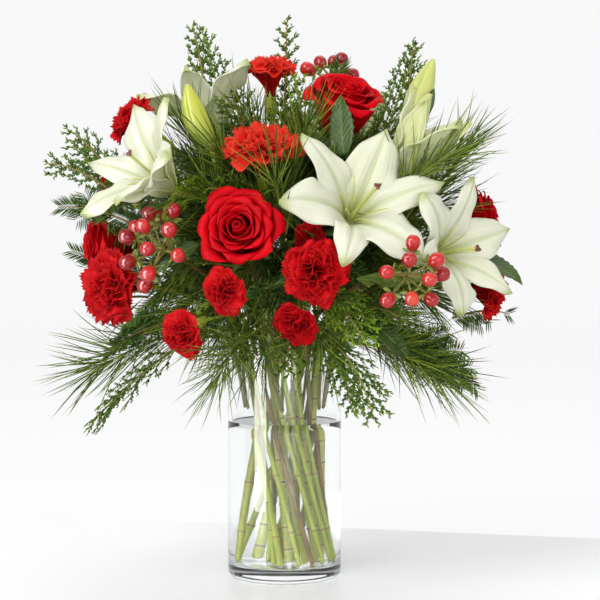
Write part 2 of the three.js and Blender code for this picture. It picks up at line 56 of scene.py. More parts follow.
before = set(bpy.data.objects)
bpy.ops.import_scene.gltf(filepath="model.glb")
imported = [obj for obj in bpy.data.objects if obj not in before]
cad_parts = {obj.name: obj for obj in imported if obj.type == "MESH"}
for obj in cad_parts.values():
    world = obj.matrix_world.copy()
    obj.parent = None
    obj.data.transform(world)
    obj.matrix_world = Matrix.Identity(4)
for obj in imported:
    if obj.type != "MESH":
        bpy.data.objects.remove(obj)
CAD_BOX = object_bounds()

MM = 0.001
AHEAD, ASIDE, UP = np.eye(3)
GOLDEN_ANGLE = math.pi * (3 - math.sqrt(5))


def radians(degrees):
    return np.asarray(degrees) * math.pi / 180


def unit(vector):
    return vector / np.linalg.norm(vector, axis=-1, keepdims=True)


def mix(a, b, share):
    return a + (b - a) * share


def smooth(share):
    """A share from 0 to 1 with soft ends."""
    return share**2 * (3 - 2 * share)


def round_about(x, y, angle):
    """The direction at an angle from x towards y."""
    return x * math.cos(angle) + y * math.sin(angle)


def all_round(steps):
    """Angles evenly spaced round a circle."""
    return np.linspace(0, 2 * math.pi, steps, endpoint=False)


def signed(index):
    """1 for odd numbers and -1 for even ones."""
    return 1 if index % 2 else -1


def over_sphere(index, count, low, high):
    """The direction of one of many points spread evenly over a sphere between two heights."""
    lift = mix(low, high, (index + 0.5) / count)
    bearing = index * GOLDEN_ANGLE
    level = math.sqrt(1 - lift**2)
    return np.array([level * math.cos(bearing), level * math.sin(bearing), lift])


# ---- the kinds of size
def metres(name, description, default):
    return FloatProperty(name=name, description=description, default=default, unit="LENGTH")


def turning(name, description, default):
    return FloatProperty(name=name, description=description, default=default, unit="ROTATION")


def watts(name, description, default):
    return FloatProperty(name=name, description=description, default=default, unit="POWER")


def ratio(name, description, default):
    return FloatProperty(name=name, description=description, default=default)


def tally(name, description, default, least):
    return IntProperty(name=name, description=description, default=default, min=least)


# ---- what the frame says
def corners(node):
    """Every vertex of a CAD node."""
    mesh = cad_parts[node].data
    points = np.empty(len(mesh.vertices) * 3)
    mesh.vertices.foreach_get("co", points)
    return points.reshape(-1, 3)


def triangles(node):
    """The corners of a CAD node's triangles, three by three."""
    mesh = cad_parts[node].data
    mesh.calc_loop_triangles()
    index = np.empty(len(mesh.loop_triangles) * 3, dtype=np.int32)
    mesh.loop_triangles.foreach_get("vertices", index)
    return corners(node)[index].reshape(-1, 3, 3)


def middle(node):
    """The middle of a CAD node's surface."""
    faces = triangles(node)
    area = np.linalg.norm(np.cross(faces[:, 1] - faces[:, 0], faces[:, 2] - faces[:, 0]), axis=1)
    return (faces.mean(axis=1) * area[:, None]).sum(axis=0) / area.sum()


def crossing(node, height, within):
    """The middle of a stem where it passes a height, counting only what is near the vase's axis."""
    faces = triangles(node)
    level = faces[:, :, 2] - height
    faces = faces[(level.min(axis=1) < 0) & (level.max(axis=1) > 0)]
    total, weight = np.zeros(3), 0.0
    for face in faces:
        cut = []
        for a, b in ((0, 1), (1, 2), (2, 0)):
            low, high = face[a][2] - height, face[b][2] - height
            if low * high < 0:
                cut.append(mix(face[a], face[b], low / (low - high)))
        if len(cut) == 2 and np.hypot(cut[0][0], cut[0][1]) < within:
            size = np.linalg.norm(cut[1] - cut[0])
            total += (cut[0] + cut[1]) / 2 * size
            weight += size
    return total / weight


class Pose:
    """Where a bloom sits on its stalk, which way it looks, and how big it is."""

    STALK_END = 0.4 * MM

    def __init__(self, bloom, stem):
        centre = middle(bloom)
        stalk = corners(stem)
        reach = np.linalg.norm(stalk - centre, axis=1)
        self.seat = stalk[reach < reach.min() + self.STALK_END].mean(axis=0)
        self.axis = unit(centre - self.seat)
        own = corners(bloom) - self.seat
        along = own @ self.axis
        out = own - along[:, None] * self.axis
        reach = np.linalg.norm(out, axis=1)
        self.depth = along.max()
        self.radius = reach.max()
        self.tip_height = along[reach.argmax()]
        self.x = unit(out[reach.argmax()])
        self.y = np.cross(self.axis, self.x)

    def place(self, points):
        """Points given across, across and along the bloom's axis, in the frame."""
        x, y, z = points[..., :1], points[..., 1:2], points[..., 2:]
        return self.seat + x * self.x + y * self.y + z * self.axis


# ---- meshes
class Shape:
    """Gathers patches of points into one mesh. Each point carries three numbers, its tint."""

    def __init__(self):
        self.points, self.tints, self.faces = [], [], []
        self.count = 0

    def patch(self, grid, tint, around=False):
        """Adds rows by columns of points as quads. around joins the last column to the first."""
        rows, columns = grid.shape[:2]
        index = np.arange(rows * columns).reshape(rows, columns) + self.count
        ring = np.hstack([index, index[:, :1]]) if around else index
        quads = np.stack([ring[:-1, :-1], ring[:-1, 1:], ring[1:, 1:], ring[1:, :-1]], axis=-1)
        self.points.append(grid.reshape(-1, 3))
        self.tints.append(np.broadcast_to(tint, grid.shape).reshape(-1, 3))
        self.faces += quads.reshape(-1, 4).tolist()
        self.count += rows * columns
        return index

    def capped(self, grid, tint):
        """Adds rings of points as a closed skin, with a face over its first and last ring."""
        index = self.patch(grid, tint, around=True)
        self.faces.append(index[0, ::-1].tolist())
        self.faces.append(index[-1].tolist())

    def tube(self, path, radius, sides, tint):
        """Adds a closed tube along a path. radius may change along it."""
        radius = np.broadcast_to(radius, len(path))
        self.capped(path[:, None] + rings(path, sides) * radius[:, None, None], tint)

    def turned(self, profile, pose, sides, tint):
        """Adds a profile of distance out and height, turned about a pose's axis and closed."""
        angle = all_round(sides)
        out, up = np.asarray(profile, dtype=float).T
        x, y = np.outer(out, np.cos(angle)), np.outer(out, np.sin(angle))
        grid = np.stack([x, y, np.broadcast_to(up[:, None], x.shape)], axis=-1)
        self.capped(pose.place(grid), tint)

    def mesh(self, name):
        data = bpy.data.meshes.new(name)
        data.from_pydata(np.concatenate(self.points), [], self.faces)
        data.polygons.foreach_set("use_smooth", np.ones(len(data.polygons), dtype=bool))
        tint = data.attributes.new("tint", "FLOAT_VECTOR", "POINT")
        tint.data.foreach_set("vector", np.concatenate(self.tints).astype(np.float32).ravel())
        return data


def square_to(path):
    """Two directions square to a path at each of its points, turned as little as can be."""
    tangents = unit(np.gradient(path, axis=0))
    side = np.array([0.36, 0.8, 0.48])
    sides = []
    for tangent in tangents:
        side = unit(side - tangent * (side @ tangent))
        sides.append(side)
    sides = np.array(sides)
    return sides, np.cross(tangents, sides)


def rings(path, sides):
    """Directions all round a path at each of its points."""
    side, across = square_to(path)
    angle = all_round(sides)
    return side[:, None] * np.cos(angle)[:, None] + across[:, None] * np.sin(angle)[:, None]


def tinted(grid, *numbers):
    """A tint for each point of a grid, from three numbers or rows of numbers."""
    tint = np.empty(grid.shape)
    for place, number in enumerate(numbers):
        tint[..., place] = number
    return tint


def bezier(points, steps):
    """A cubic curve through its first and last points, pulled by the two between."""
    share = np.linspace(0, 1, steps)[:, None]
    left = 1 - share
    a, b, c, d = points
    return left**3 * a + 3 * left**2 * share * b + 3 * left * share**2 * c + share**3 * d


def linked(name, data):
    """A new object in the scene."""
    made = bpy.data.objects.new(name, data)
    bpy.context.scene.collection.objects.link(made)
    return made


def piece(mesh, material, slot, nodes=(), thickness=0.0):
    """Makes a mesh a finished piece that rides on the frame and stands for CAD nodes."""
    made = linked(mesh.name, mesh)
    if material:
        mesh.materials.append(finish(material))
    if thickness:
        wall = made.modifiers.new("thickness", "SOLIDIFY")
        wall.thickness = thickness
        wall.offset = 0
        wall.use_quality_normals = True
    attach(made, "root")
    if nodes:
        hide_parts(*nodes)


# ---- shader maths
class Value:
    """A socket of a shader. Arithmetic on it adds Math nodes."""

    def __init__(self, shader, socket):
        self.shader, self.socket = shader, socket

    def math(self, operation, *terms, clamp=False):
        settings = {"operation": operation, "use_clamp": clamp}
        return self.shader.node("ShaderNodeMath", settings, dict(enumerate(terms)))

    def __add__(self, other):
        return self.math("ADD", self, other)

    def __sub__(self, other):
        return self.math("SUBTRACT", self, other)

    def __rsub__(self, other):
        return self.math("SUBTRACT", other, self)

    def __mul__(self, other):
        return self.math("MULTIPLY", self, other)

    def sine(self):
        return self.math("SINE", self)

    def unsigned(self):
        return self.math("ABSOLUTE", self)

    def clamped(self):
        return self.math("ADD", self, 0.0, clamp=True)

    def between(self, low, high):
        """How far the value is from low to high, held from 0 to 1, with soft ends."""
        soft = {"interpolation_type": "SMOOTHSTEP"}
        return self.shader.node("ShaderNodeMapRange", soft, {"Value": self, 1: low, 2: high})


class Shader:
    """A material whose nodes are added by calls, with a Principled shader at its end."""

    def __init__(self, name, **sockets):
        self.material = bpy.data.materials.new(name)
        self.material.use_nodes = True
        self.tree = self.material.node_tree
        self.principled = self.tree.nodes["Principled BSDF"]
        self.output = self.tree.nodes["Material Output"]
        self.set(**sockets)

    def node(self, kind, settings=None, sockets=None, output=0):
        made = self.tree.nodes.new(kind)
        for name, setting in (settings or {}).items():
            if name == "stops":
                self.fill(made.color_ramp, setting)
            else:
                setattr(made, name, setting)
        for name, given in (sockets or {}).items():
            self.join(made.inputs[name], given)
        return Value(self, made.outputs[output])

    def fill(self, ramp, stops):
        while len(ramp.elements) < len(stops):
            ramp.elements.new(1.0)
        for element, (place, colour) in zip(ramp.elements, stops):
            element.position = place
            element.color = (*colour, 1.0)

    def join(self, socket, given):
        if isinstance(given, Value):
            self.tree.links.new(given.socket, socket)
        elif socket.type == "RGBA" and len(given) == 3:
            socket.default_value = (*given, 1.0)
        else:
            socket.default_value = given

    def set(self, **sockets):
        """Sets the Principled shader's sockets, named with _ for a space."""
        for name, given in sockets.items():
            self.join(self.principled.inputs[name.replace("_", " ")], given)

    def tint(self):
        """The three numbers that each point of a piece carries."""
        carried = self.node("ShaderNodeAttribute", {"attribute_name": "tint"}, output=1)
        return [self.node("ShaderNodeSeparateXYZ", None, {0: carried}, i) for i in range(3)]

    def number(self, attribute):
        """A number that a sprig's points carry."""
        return self.node("ShaderNodeAttribute", {"attribute_name": attribute}, output=2)

    def place(self):
        return self.node("ShaderNodeTexCoord", output=3)

    def noise(self, scale, detail=2.0, stretch=None):
        """Noise in the object's own coordinates. stretch under 1 draws it out that way."""
        at = self.place()
        if stretch:
            at = self.node("ShaderNodeMapping", None, {"Vector": at, "Scale": stretch})
        return self.node("ShaderNodeTexNoise", None, {"Vector": at, "Scale": scale, "Detail": detail})

    def blend(self, share, a, b):
        """A mix of two colours."""
        return self.node("ShaderNodeMix", {"data_type": "RGBA"}, {0: share, 6: a, 7: b}, output=2)

    def ramp(self, share, *stops):
        return self.node("ShaderNodeValToRGB", {"stops": stops}, {0: share})

    def bump(self, height, distance, strength=1.0):
        sockets = {"Height": height, "Distance": distance, "Strength": strength}
        self.set(Normal=self.node("ShaderNodeBump", sockets=sockets))

    def mixed_with(self, other, share):
        """Mixes a share of another shader with the Principled one."""
        front = Value(self, self.principled.outputs[0])
        both = self.node("ShaderNodeMixShader", None, {0: share, 1: front, 2: other})
        self.join(self.output.inputs["Surface"], both)

    def lit_through(self, colour, share):
        """Lets light through from behind, as a petal or a leaf does."""
        self.mixed_with(self.node("ShaderNodeBsdfTranslucent", None, {"Color": colour}), share)

    def clear_to_lamps(self, tint):
        """Lets the lamps' light pass straight through, as clear glass seems to."""
        shadow = self.node("ShaderNodeLightPath", output=1)
        self.mixed_with(self.node("ShaderNodeBsdfTransparent", None, {"Color": tint}), shadow)

    def finished(self, colour, height, depth, strength, through=0.0):
        """Sets the colour, the bumps and the share of light let through, and gives the material."""
        self.set(Base_Color=colour)
        self.bump(height, depth, strength)
        if through:
            self.lit_through(colour, through)
        return self.material


# ---- materials
def mix_colour(a, b, share):
    return tuple(mix(x, y, share) for x, y in zip(a, b))


SPOT_BROWN = (0.12, 0.05, 0.02)
NODE_BROWN = (0.17, 0.075, 0.015)


def clear_shader(name, bending, colour, shadow):
    """Glass or water: how much it bends light, its own colour, and the colour of its shadow."""
    shader = Shader(name, Base_Color=colour, Roughness=0.0, IOR=bending, Transmission_Weight=1.0)
    shader.clear_to_lamps(shadow)
    return shader


def glass_finish():
    shader = clear_shader("clear_glass", 1.47, (0.99, 1.0, 1.0), (0.93, 0.94, 0.94, 1.0))
    shader.bump(shader.noise(14.0, 1.0, stretch=(1.0, 1.0, 0.5)), 0.0006, 0.12)
    return shader.material


def water_finish():
    shader = clear_shader("water", 1.33, (0.985, 0.995, 0.99), (0.97, 0.98, 0.98, 1.0))
    shader.bump(shader.noise(30.0, 1.0), 0.0003, 0.08)
    return shader.material


def stem_finish(name, shade, pale, dark, speckle=0.0):
    """A stem's skin: fine streaks along it, with a brown ring round each of its nodes."""
    shader = Shader(
        name, Roughness=0.42, Specular_IOR_Level=0.4, Subsurface_Weight=0.06, Subsurface_Scale=0.002
    )
    node = shader.tint()[1]
    broad = shader.noise(22.0, 3.0).between(0.3, 0.7)
    streak = shader.noise(420.0, 2.0, stretch=(1.0, 1.0, 0.05))
    colour = shader.blend(broad * 0.7, shade, pale)
    colour = shader.blend(streak.between(0.35, 0.75) * 0.35, colour, dark)
    colour = shader.blend(node.between(0.25, 0.7) * 0.5, colour, pale)
    colour = shader.blend(node.between(0.62, 0.9) * 0.8, colour, NODE_BROWN)
    if speckle:
        spots = shader.noise(520.0, 1.0).between(0.62, 0.72)
        colour = shader.blend(spots * speckle, colour, SPOT_BROWN)
    return shader.finished(colour, streak + broad * 0.5, 0.0003, 0.4)


def carnation_finish(name, deep, bright, edge):
    """Ruffled red petals, bright on the blade, with painted shade darkening the throat, a painted highlight
    lightening the cut rim, and painted shade on the inner petals.
    """
    shader = Shader(
        name, Roughness=0.6, Specular_IOR_Level=0.05, Sheen_Weight=0.02, Sheen_Roughness=0.45,
        Sheen_Tint=(1.0, 0.35, 0.3, 1.0),
    )
    along, across, shade = shader.tint()
    # Painted shade: the ramp darkens each petal from the blade down to the deep colour in the throat.
    colour = shader.ramp(along, (0.0, deep), (0.45, mix_colour(deep, bright, 0.45)), (0.8, bright))
    # Painted highlight: the cut rim is lightened towards the edge colour.
    colour = shader.blend(along.between(0.82, 1.0) * 0.55, colour, edge)
    mottle = shader.noise(160.0, 3.0).between(0.3, 0.75)
    colour = shader.blend(mottle * 0.18, colour, deep)
    # Painted shade on the inner petals, with a random share per petal: the tint's third number darkens
    # towards the deep colour.
    colour = shader.blend(shade * 0.45, colour, deep)
    vein = (across * 70.0).sine()
    return shader.finished(colour, vein * 0.4 + mottle, 0.00025, 0.5, through=0.22)


def rose_finish():
    """Velvet red petals, with painted shade making them nearly black-red in the folds and a painted highlight
    making them brightest on the rolled rims.
    """
    shader = Shader(
        "rose_petal", Roughness=0.55, Specular_IOR_Level=0.05, Sheen_Weight=0.01, Sheen_Roughness=0.4,
        Sheen_Tint=(1.0, 0.1, 0.15, 1.0),
    )
    along, across, shade = shader.tint()
    claw, deep = (0.415, 0.045, 0.01), (0.146, 0.0004, 0.0025)
    bright, rim = (0.61, 0.0008, 0.005), (0.756, 0.0015, 0.009)
    # Along each petal: its own paler claw at the foot, painted shade to the deep colour low in the fold, the
    # bright blade, and a painted highlight on the rolled rim.
    colour = shader.ramp(along, (0.0, claw), (0.18, deep), (0.72, bright), (1.0, rim))
    mottle = shader.noise(90.0, 3.0).between(0.3, 0.75)
    colour = shader.blend(mottle * 0.22, colour, deep)
    # Painted shade on the inner petals, with a random share per petal.
    colour = shader.blend(shade * 0.5, colour, deep)
    velvet = (across * 95.0).sine() * 0.25 + shader.noise(900.0, 2.0) + mottle
    return shader.finished(colour, velvet, 0.0002, 0.45, through=0.16)


def lily_finish():
    """Cream petals with green midribs, throats and tips, fine lengthwise veins and a few papillae."""
    shader = Shader(
        "lily_petal", Roughness=0.42, Specular_IOR_Level=0.35, Subsurface_Weight=0.12,
        Subsurface_Scale=0.004, Subsurface_Radius=(1.0, 0.9, 0.5),
    )
    along, across, shade = shader.tint()
    white, green, lime = (0.8, 0.8, 0.69), (0.36, 0.46, 0.09), (0.62, 0.66, 0.22)
    side = across.unsigned()
    rib = (1.0 - side.between(0.03, 0.22)) * (1.0 - along.between(0.45, 0.95) * 0.55)
    throat = 1.0 - along.between(0.04, 0.42)
    colour = shader.blend(throat * 0.75, white, lime)
    colour = shader.blend(rib * (throat * 0.5 + 0.35), colour, green)
    colour = shader.blend(along.between(0.86, 1.0) * 0.8, colour, green)
    colour = shader.blend(shade * 0.6, colour, lime)
    vein = (across * 38.0 + shader.noise(60.0, 2.0) * 3.0).sine()
    colour = shader.blend(vein.between(0.3, 1.0) * 0.12, colour, lime)
    dots = shader.node("ShaderNodeTexVoronoi", None, {"Vector": shader.place(), "Scale": 420.0})
    papillae = (1.0 - dots.between(0.1, 0.45)) * throat * (1.0 - side.between(0.2, 0.7))
    height = vein * 0.35 + papillae * 1.5 + shader.noise(240.0, 2.0) * 0.3
    shader.lit_through((0.8, 0.85, 0.5, 1.0), 0.25)
    return shader.finished(colour, height, 0.0004, 0.5)


def bud_finish():
    """A lily's closed bud: yellow-green between its ribs, greener at the foot."""
    shader = Shader(
        "lily_bud_skin", Roughness=0.4, Specular_IOR_Level=0.4, Subsurface_Weight=0.1, Subsurface_Scale=0.004
    )
    along, rib, shade = shader.tint()
    young, ripe, pale = (0.42, 0.44, 0.035), (0.26, 0.38, 0.04), (0.5, 0.53, 0.16)
    colour = shader.blend(shade, young, pale)
    colour = shader.blend((1.0 - along.between(0.0, 0.4)) * 0.7, colour, ripe)
    colour = shader.blend(rib.between(0.4, 1.0) * 0.45, colour, ripe)
    grain = shader.noise(300.0, 2.0, stretch=(1.0, 1.0, 0.25))
    colour = shader.blend(grain.between(0.4, 0.8) * 0.25, colour, pale)
    return shader.finished(colour, grain, 0.0003, 0.4)


def style_finish():
    """The lily's style, green below and brown-red at its stigma."""
    shader = Shader("lily_style", Roughness=0.35, Subsurface_Weight=0.1, Subsurface_Scale=0.002)
    along = shader.tint()[0]
    green, olive, brown, dark = (0.45, 0.52, 0.14), (0.5, 0.5, 0.16), (0.28, 0.1, 0.03), (0.13, 0.035, 0.015)
    colour = shader.ramp(along, (0.0, green), (0.8, olive), (0.92, brown), (1.0, dark))
    return shader.finished(colour, shader.noise(700.0, 2.0), 0.0003, 0.5)


def berry_finish():
    """Glossy berries, each its own red, olive where it meets its stalk."""
    shader = Shader(
        "berry_skin", Roughness=0.2, Specular_IOR_Level=0.35, Coat_Weight=0.25, Coat_Roughness=0.06,
        Subsurface_Weight=0.08, Subsurface_Scale=0.003, Subsurface_Radius=(1.0, 0.25, 0.15),
    )
    shade, along = shader.number("shade"), shader.number("along")
    dark, red, bright, pink = (0.2, 0.003, 0.008), (0.36, 0.006, 0.012), (0.52, 0.02, 0.02), (0.6, 0.07, 0.03)
    colour = shader.ramp(shade, (0.0, dark), (0.45, red), (0.85, bright), (1.0, pink))
    mottle = shader.noise(180.0, 3.0).between(0.35, 0.75)
    colour = shader.blend(mottle * 0.3, colour, (0.5, 0.05, 0.025))
    colour = shader.blend((1.0 - along.between(0.0, 0.3)) * 0.5, colour, (0.34, 0.16, 0.03))
    return shader.finished(colour, mottle, 0.0002, 0.3)


def leaf_finish(name, shade, pale, dark, gloss=0.38):
    """A leaf with a pale midrib, side veins, mottling, and light coming through."""
    shader = Shader(name, Roughness=gloss, Specular_IOR_Level=0.4)
    along, across, tone = shader.tint()
    side = across.unsigned()
    mottle = shader.noise(70.0, 3.0).between(0.3, 0.75)
    vein = (along * 60.0 - side * 14.0).sine()
    colour = shader.blend(mottle * 0.5, shade, dark)
    colour = shader.blend(tone.clamped() * 0.6, colour, pale)
    colour = shader.blend(vein.between(0.8, 1.0) * 0.3, colour, pale)
    colour = shader.blend((1.0 - side.between(0.02, 0.1)) * 0.7, colour, pale)
    height = mottle * 0.5 - vein * 0.3 + side.between(0.0, 0.12)
    return shader.finished(colour, height, 0.0005, 0.5, through=0.2)


def foliage_finish(name, young, ripe, old, gloss=0.4):
    """Needles or scales: each its own green, mottled, and browner at the tip."""
    shader = Shader(name, Roughness=gloss, Specular_IOR_Level=0.12)
    shade, along = shader.number("shade"), shader.number("along")
    colour = shader.ramp(shade, (0.0, old), (0.5, ripe), (1.0, young))
    colour = shader.blend(shader.noise(120.0, 2.0).between(0.3, 0.75) * 0.35, colour, old)
    tip = mix_colour(young, (0.5, 0.42, 0.1), 0.4)
    colour = shader.blend(along.between(0.82, 1.0) * 0.45, colour, tip)
    return shader.finished(colour, shader.noise(800.0, 1.0), 0.0002, 0.3, through=0.12)


def bark_finish():
    """The twigs of the greens and of the berries: green-brown bark with fine cracks."""
    shader = Shader("twig_bark", Roughness=0.6, Specular_IOR_Level=0.3)
    green = shader.tint()[2]
    broad = shader.noise(60.0, 3.0).between(0.3, 0.7)
    streak = shader.noise(500.0, 3.0, stretch=(1.0, 1.0, 0.15))
    colour = shader.blend(broad, (0.19, 0.07, 0.02), (0.27, 0.13, 0.035))
    colour = shader.blend(green.clamped(), colour, (0.2, 0.24, 0.04))
    colour = shader.blend(streak.between(0.4, 0.8) * 0.5, colour, (0.06, 0.035, 0.015))
    return shader.finished(colour, streak + broad * 0.5, 0.0005, 0.6)


def table_finish():
    shader = Shader("pale_table", Roughness=0.35, Specular_IOR_Level=0.3)
    grain = shader.noise(40.0, 2.0) * 0.3
    shader.set(Base_Color=shader.blend(grain, (0.86, 0.86, 0.865), (0.84, 0.84, 0.85)))
    return shader.material


def backdrop_finish():
    shader = Shader(
        "pale_backdrop", Roughness=0.9, Specular_IOR_Level=0.0, Emission_Color=(1.0, 1.0, 1.0, 1.0),
        Emission_Strength=0.84,
    )
    grain = shader.noise(3.0, 1.0) * 0.2
    shader.set(Base_Color=shader.blend(grain, (0.13, 0.13, 0.13), (0.11, 0.11, 0.12)))
    return shader.material


# Each finish: what makes it and, where that makes several, the material's name and its colours.
FINISHES = {
    "glass": (glass_finish,),
    "water": (water_finish,),
    "bark": (bark_finish,),
    "rose stem": (stem_finish, "rose_stem_skin", (0.27, 0.32, 0.008), (0.44, 0.44, 0.04),
                  (0.14, 0.15, 0.008), 0.3),
    "lily stem": (stem_finish, "lily_stem_skin", (0.43, 0.48, 0.03), (0.64, 0.66, 0.24),
                  (0.28, 0.32, 0.018)),
    "carnation stem": (stem_finish, "carnation_stem_skin", (0.31, 0.38, 0.01), (0.46, 0.5, 0.07),
                       (0.17, 0.21, 0.01)),
    # The carnations' colours: painted shade for the throat, the blade's own red, and a painted highlight for
    # the rim.
    "carnation": (carnation_finish, "carnation_petal", (0.22, 0.001, 0.003), (0.62, 0.002, 0.006),
                  (0.8, 0.016, 0.02)),
    "coral carnation": (carnation_finish, "coral_carnation_petal", (0.4, 0.004, 0.005), (0.82, 0.016, 0.01),
                        (0.93, 0.1, 0.05)),
    "rose": (rose_finish,),
    "lily": (lily_finish,),
    "bud": (bud_finish,),
    "style": (style_finish,),
    "berry": (berry_finish,),
    "leaf": (leaf_finish, "leaf_blade", (0.055, 0.11, 0.018), (0.2, 0.28, 0.06), (0.03, 0.055, 0.012)),
    "young leaf": (leaf_finish, "young_leaf_blade", (0.15, 0.24, 0.03), (0.36, 0.42, 0.1),
                   (0.08, 0.14, 0.02)),
    "sepal": (leaf_finish, "sepal_blade", (0.16, 0.24, 0.04), (0.34, 0.4, 0.11), (0.08, 0.12, 0.02), 0.5),
    "sepal scale": (foliage_finish, "sepal_scale", (0.42, 0.46, 0.13), (0.26, 0.32, 0.07),
                    (0.12, 0.17, 0.03)),
    "pine": (foliage_finish, "pine_needle", (0.34, 0.43, 0.05), (0.11, 0.19, 0.022),
             (0.026, 0.055, 0.01), 0.5),
    "cedar": (foliage_finish, "cedar_scale", (0.3, 0.42, 0.03), (0.095, 0.18, 0.018),
              (0.022, 0.052, 0.01), 0.5),
    "young cedar": (foliage_finish, "young_cedar_scale", (0.42, 0.55, 0.04), (0.2, 0.34, 0.02),
                    (0.06, 0.13, 0.01)),
    "fir": (foliage_finish, "fir_needle", (0.17, 0.29, 0.04), (0.06, 0.13, 0.02), (0.018, 0.045, 0.01), 0.5),
    "table": (table_finish,),
    "backdrop": (backdrop_finish,),
}
MADE_FINISHES = {}


def finish(name):
    """The material of a finish, made once."""
    if name not in MADE_FINISHES:
        maker, *looks = FINISHES[name]
        MADE_FINISHES[name] = maker(*looks)
    return MADE_FINISHES[name]


# ---- needles, scales, berries and sepals
class Tree:
    """A geometry node tree that is added to by calls."""

    def __init__(self, name, inputs):
        self.group = bpy.data.node_groups.new(name, "GeometryNodeTree")
        faces = self.group.interface
        faces.new_socket("Geometry", in_out="INPUT", socket_type="NodeSocketGeometry")
        faces.new_socket("Geometry", in_out="OUTPUT", socket_type="NodeSocketGeometry")
        for label, kind in inputs:
            faces.new_socket(label, in_out="INPUT", socket_type=kind)
        self.entry = self.group.nodes.new("NodeGroupInput")
        self.exit = self.group.nodes.new("NodeGroupOutput")

    def node(self, kind, settings=None, **sockets):
        """Adds a node with its sockets set, named with _ for a space, and gives its first output."""
        made = self.group.nodes.new(kind)
        for name, setting in (settings or {}).items():
            setattr(made, name, setting)
        for name, given in sockets.items():
            self.join(made.inputs[name.replace("_", " ")], given)
        return made.outputs[0]

    def join(self, socket, given):
        if isinstance(given, bpy.types.NodeSocket):
            self.group.links.new(given, socket)
        else:
            socket.default_value = given

    def math(self, operation, *given):
        made = self.group.nodes.new("ShaderNodeMath")
        made.operation = operation
        for socket, number in zip(made.inputs, given):
            self.join(socket, number)
        return made.outputs[0]

    def vector(self, **parts):
        return self.node("ShaderNodeCombineXYZ", **parts)

    def carried(self, name, kind):
        return self.node("GeometryNodeInputNamedAttribute", {"data_type": kind}, Name=name)


GROWTH_INPUTS = (
    ("Length", "NodeSocketFloat"), ("Width", "NodeSocketFloat"), ("Flatness", "NodeSocketFloat"),
    ("Curl", "NodeSocketFloat"), ("Base", "NodeSocketFloat"), ("Tip", "NodeSocketFloat"),
    ("Rings", "NodeSocketInt"), ("Sides", "NodeSocketInt"), ("Material", "NodeSocketMaterial"),
)
# The least girth of a needle or scale, as a share of its widest.
THINNEST = 0.03
# A needle or scale smaller than this share of its size is left out.
SMALLEST = 0.15


def growth_tree():
    """Puts one needle, scale or berry on each point, along its aim and with its flat side to its side."""
    tree = Tree("growth", GROWTH_INPUTS)
    size = tree.entry.outputs
    tip = tree.vector(X=tree.math("MULTIPLY", size["Curl"], size["Length"]), Z=size["Length"])
    half = tree.vector(Z=tree.math("MULTIPLY", size["Length"], 0.5))
    spine = tree.node(
        "GeometryNodeCurveQuadraticBezier", Resolution=size["Rings"], Start=(0.0, 0.0, 0.0),
        Middle=half, End=tip,
    )
    share = tree.node("GeometryNodeSplineParameter")
    swell = tree.math("POWER", share, size["Base"])
    taper = tree.math("POWER", tree.math("SUBTRACT", 1.0, share), size["Tip"])
    girth = tree.math("MAXIMUM", tree.math("MULTIPLY", swell, taper), THINNEST)
    kept = {"data_type": "FLOAT", "domain": "POINT"}
    stored = tree.node("GeometryNodeStoreNamedAttribute", kept, Geometry=spine, Name="along", Value=share)
    radius = tree.math("MULTIPLY", size["Width"], 0.5)
    ring = tree.node("GeometryNodeCurvePrimitiveCircle", Resolution=size["Sides"], Radius=radius)
    flat = tree.vector(X=size["Flatness"], Y=1.0, Z=1.0)
    profile = tree.node("GeometryNodeTransform", Geometry=ring, Scale=flat)
    body = tree.node(
        "GeometryNodeCurveToMesh", Curve=stored, Profile_Curve=profile, Fill_Caps=True, Scale=girth
    )
    turn = "FunctionNodeAlignRotationToVector"
    aimed = tree.node(turn, {"axis": "Z"}, Vector=tree.carried("aim", "FLOAT_VECTOR"))
    side = tree.carried("side", "FLOAT_VECTOR")
    sided = tree.node(turn, {"axis": "X", "pivot_axis": "Z"}, Rotation=aimed, Vector=side)
    placed = tree.node(
        "GeometryNodeInstanceOnPoints", Points=size["Geometry"], Instance=body, Rotation=sided,
        Scale=tree.carried("size", "FLOAT"),
    )
    real = tree.node("GeometryNodeRealizeInstances", Geometry=placed)
    smoothed = tree.node("GeometryNodeSetShadeSmooth", Geometry=real)
    painted = tree.node("GeometryNodeSetMaterial", Geometry=smoothed, Material=size["Material"])
    tree.join(tree.exit.inputs[0], painted)
    return tree.group


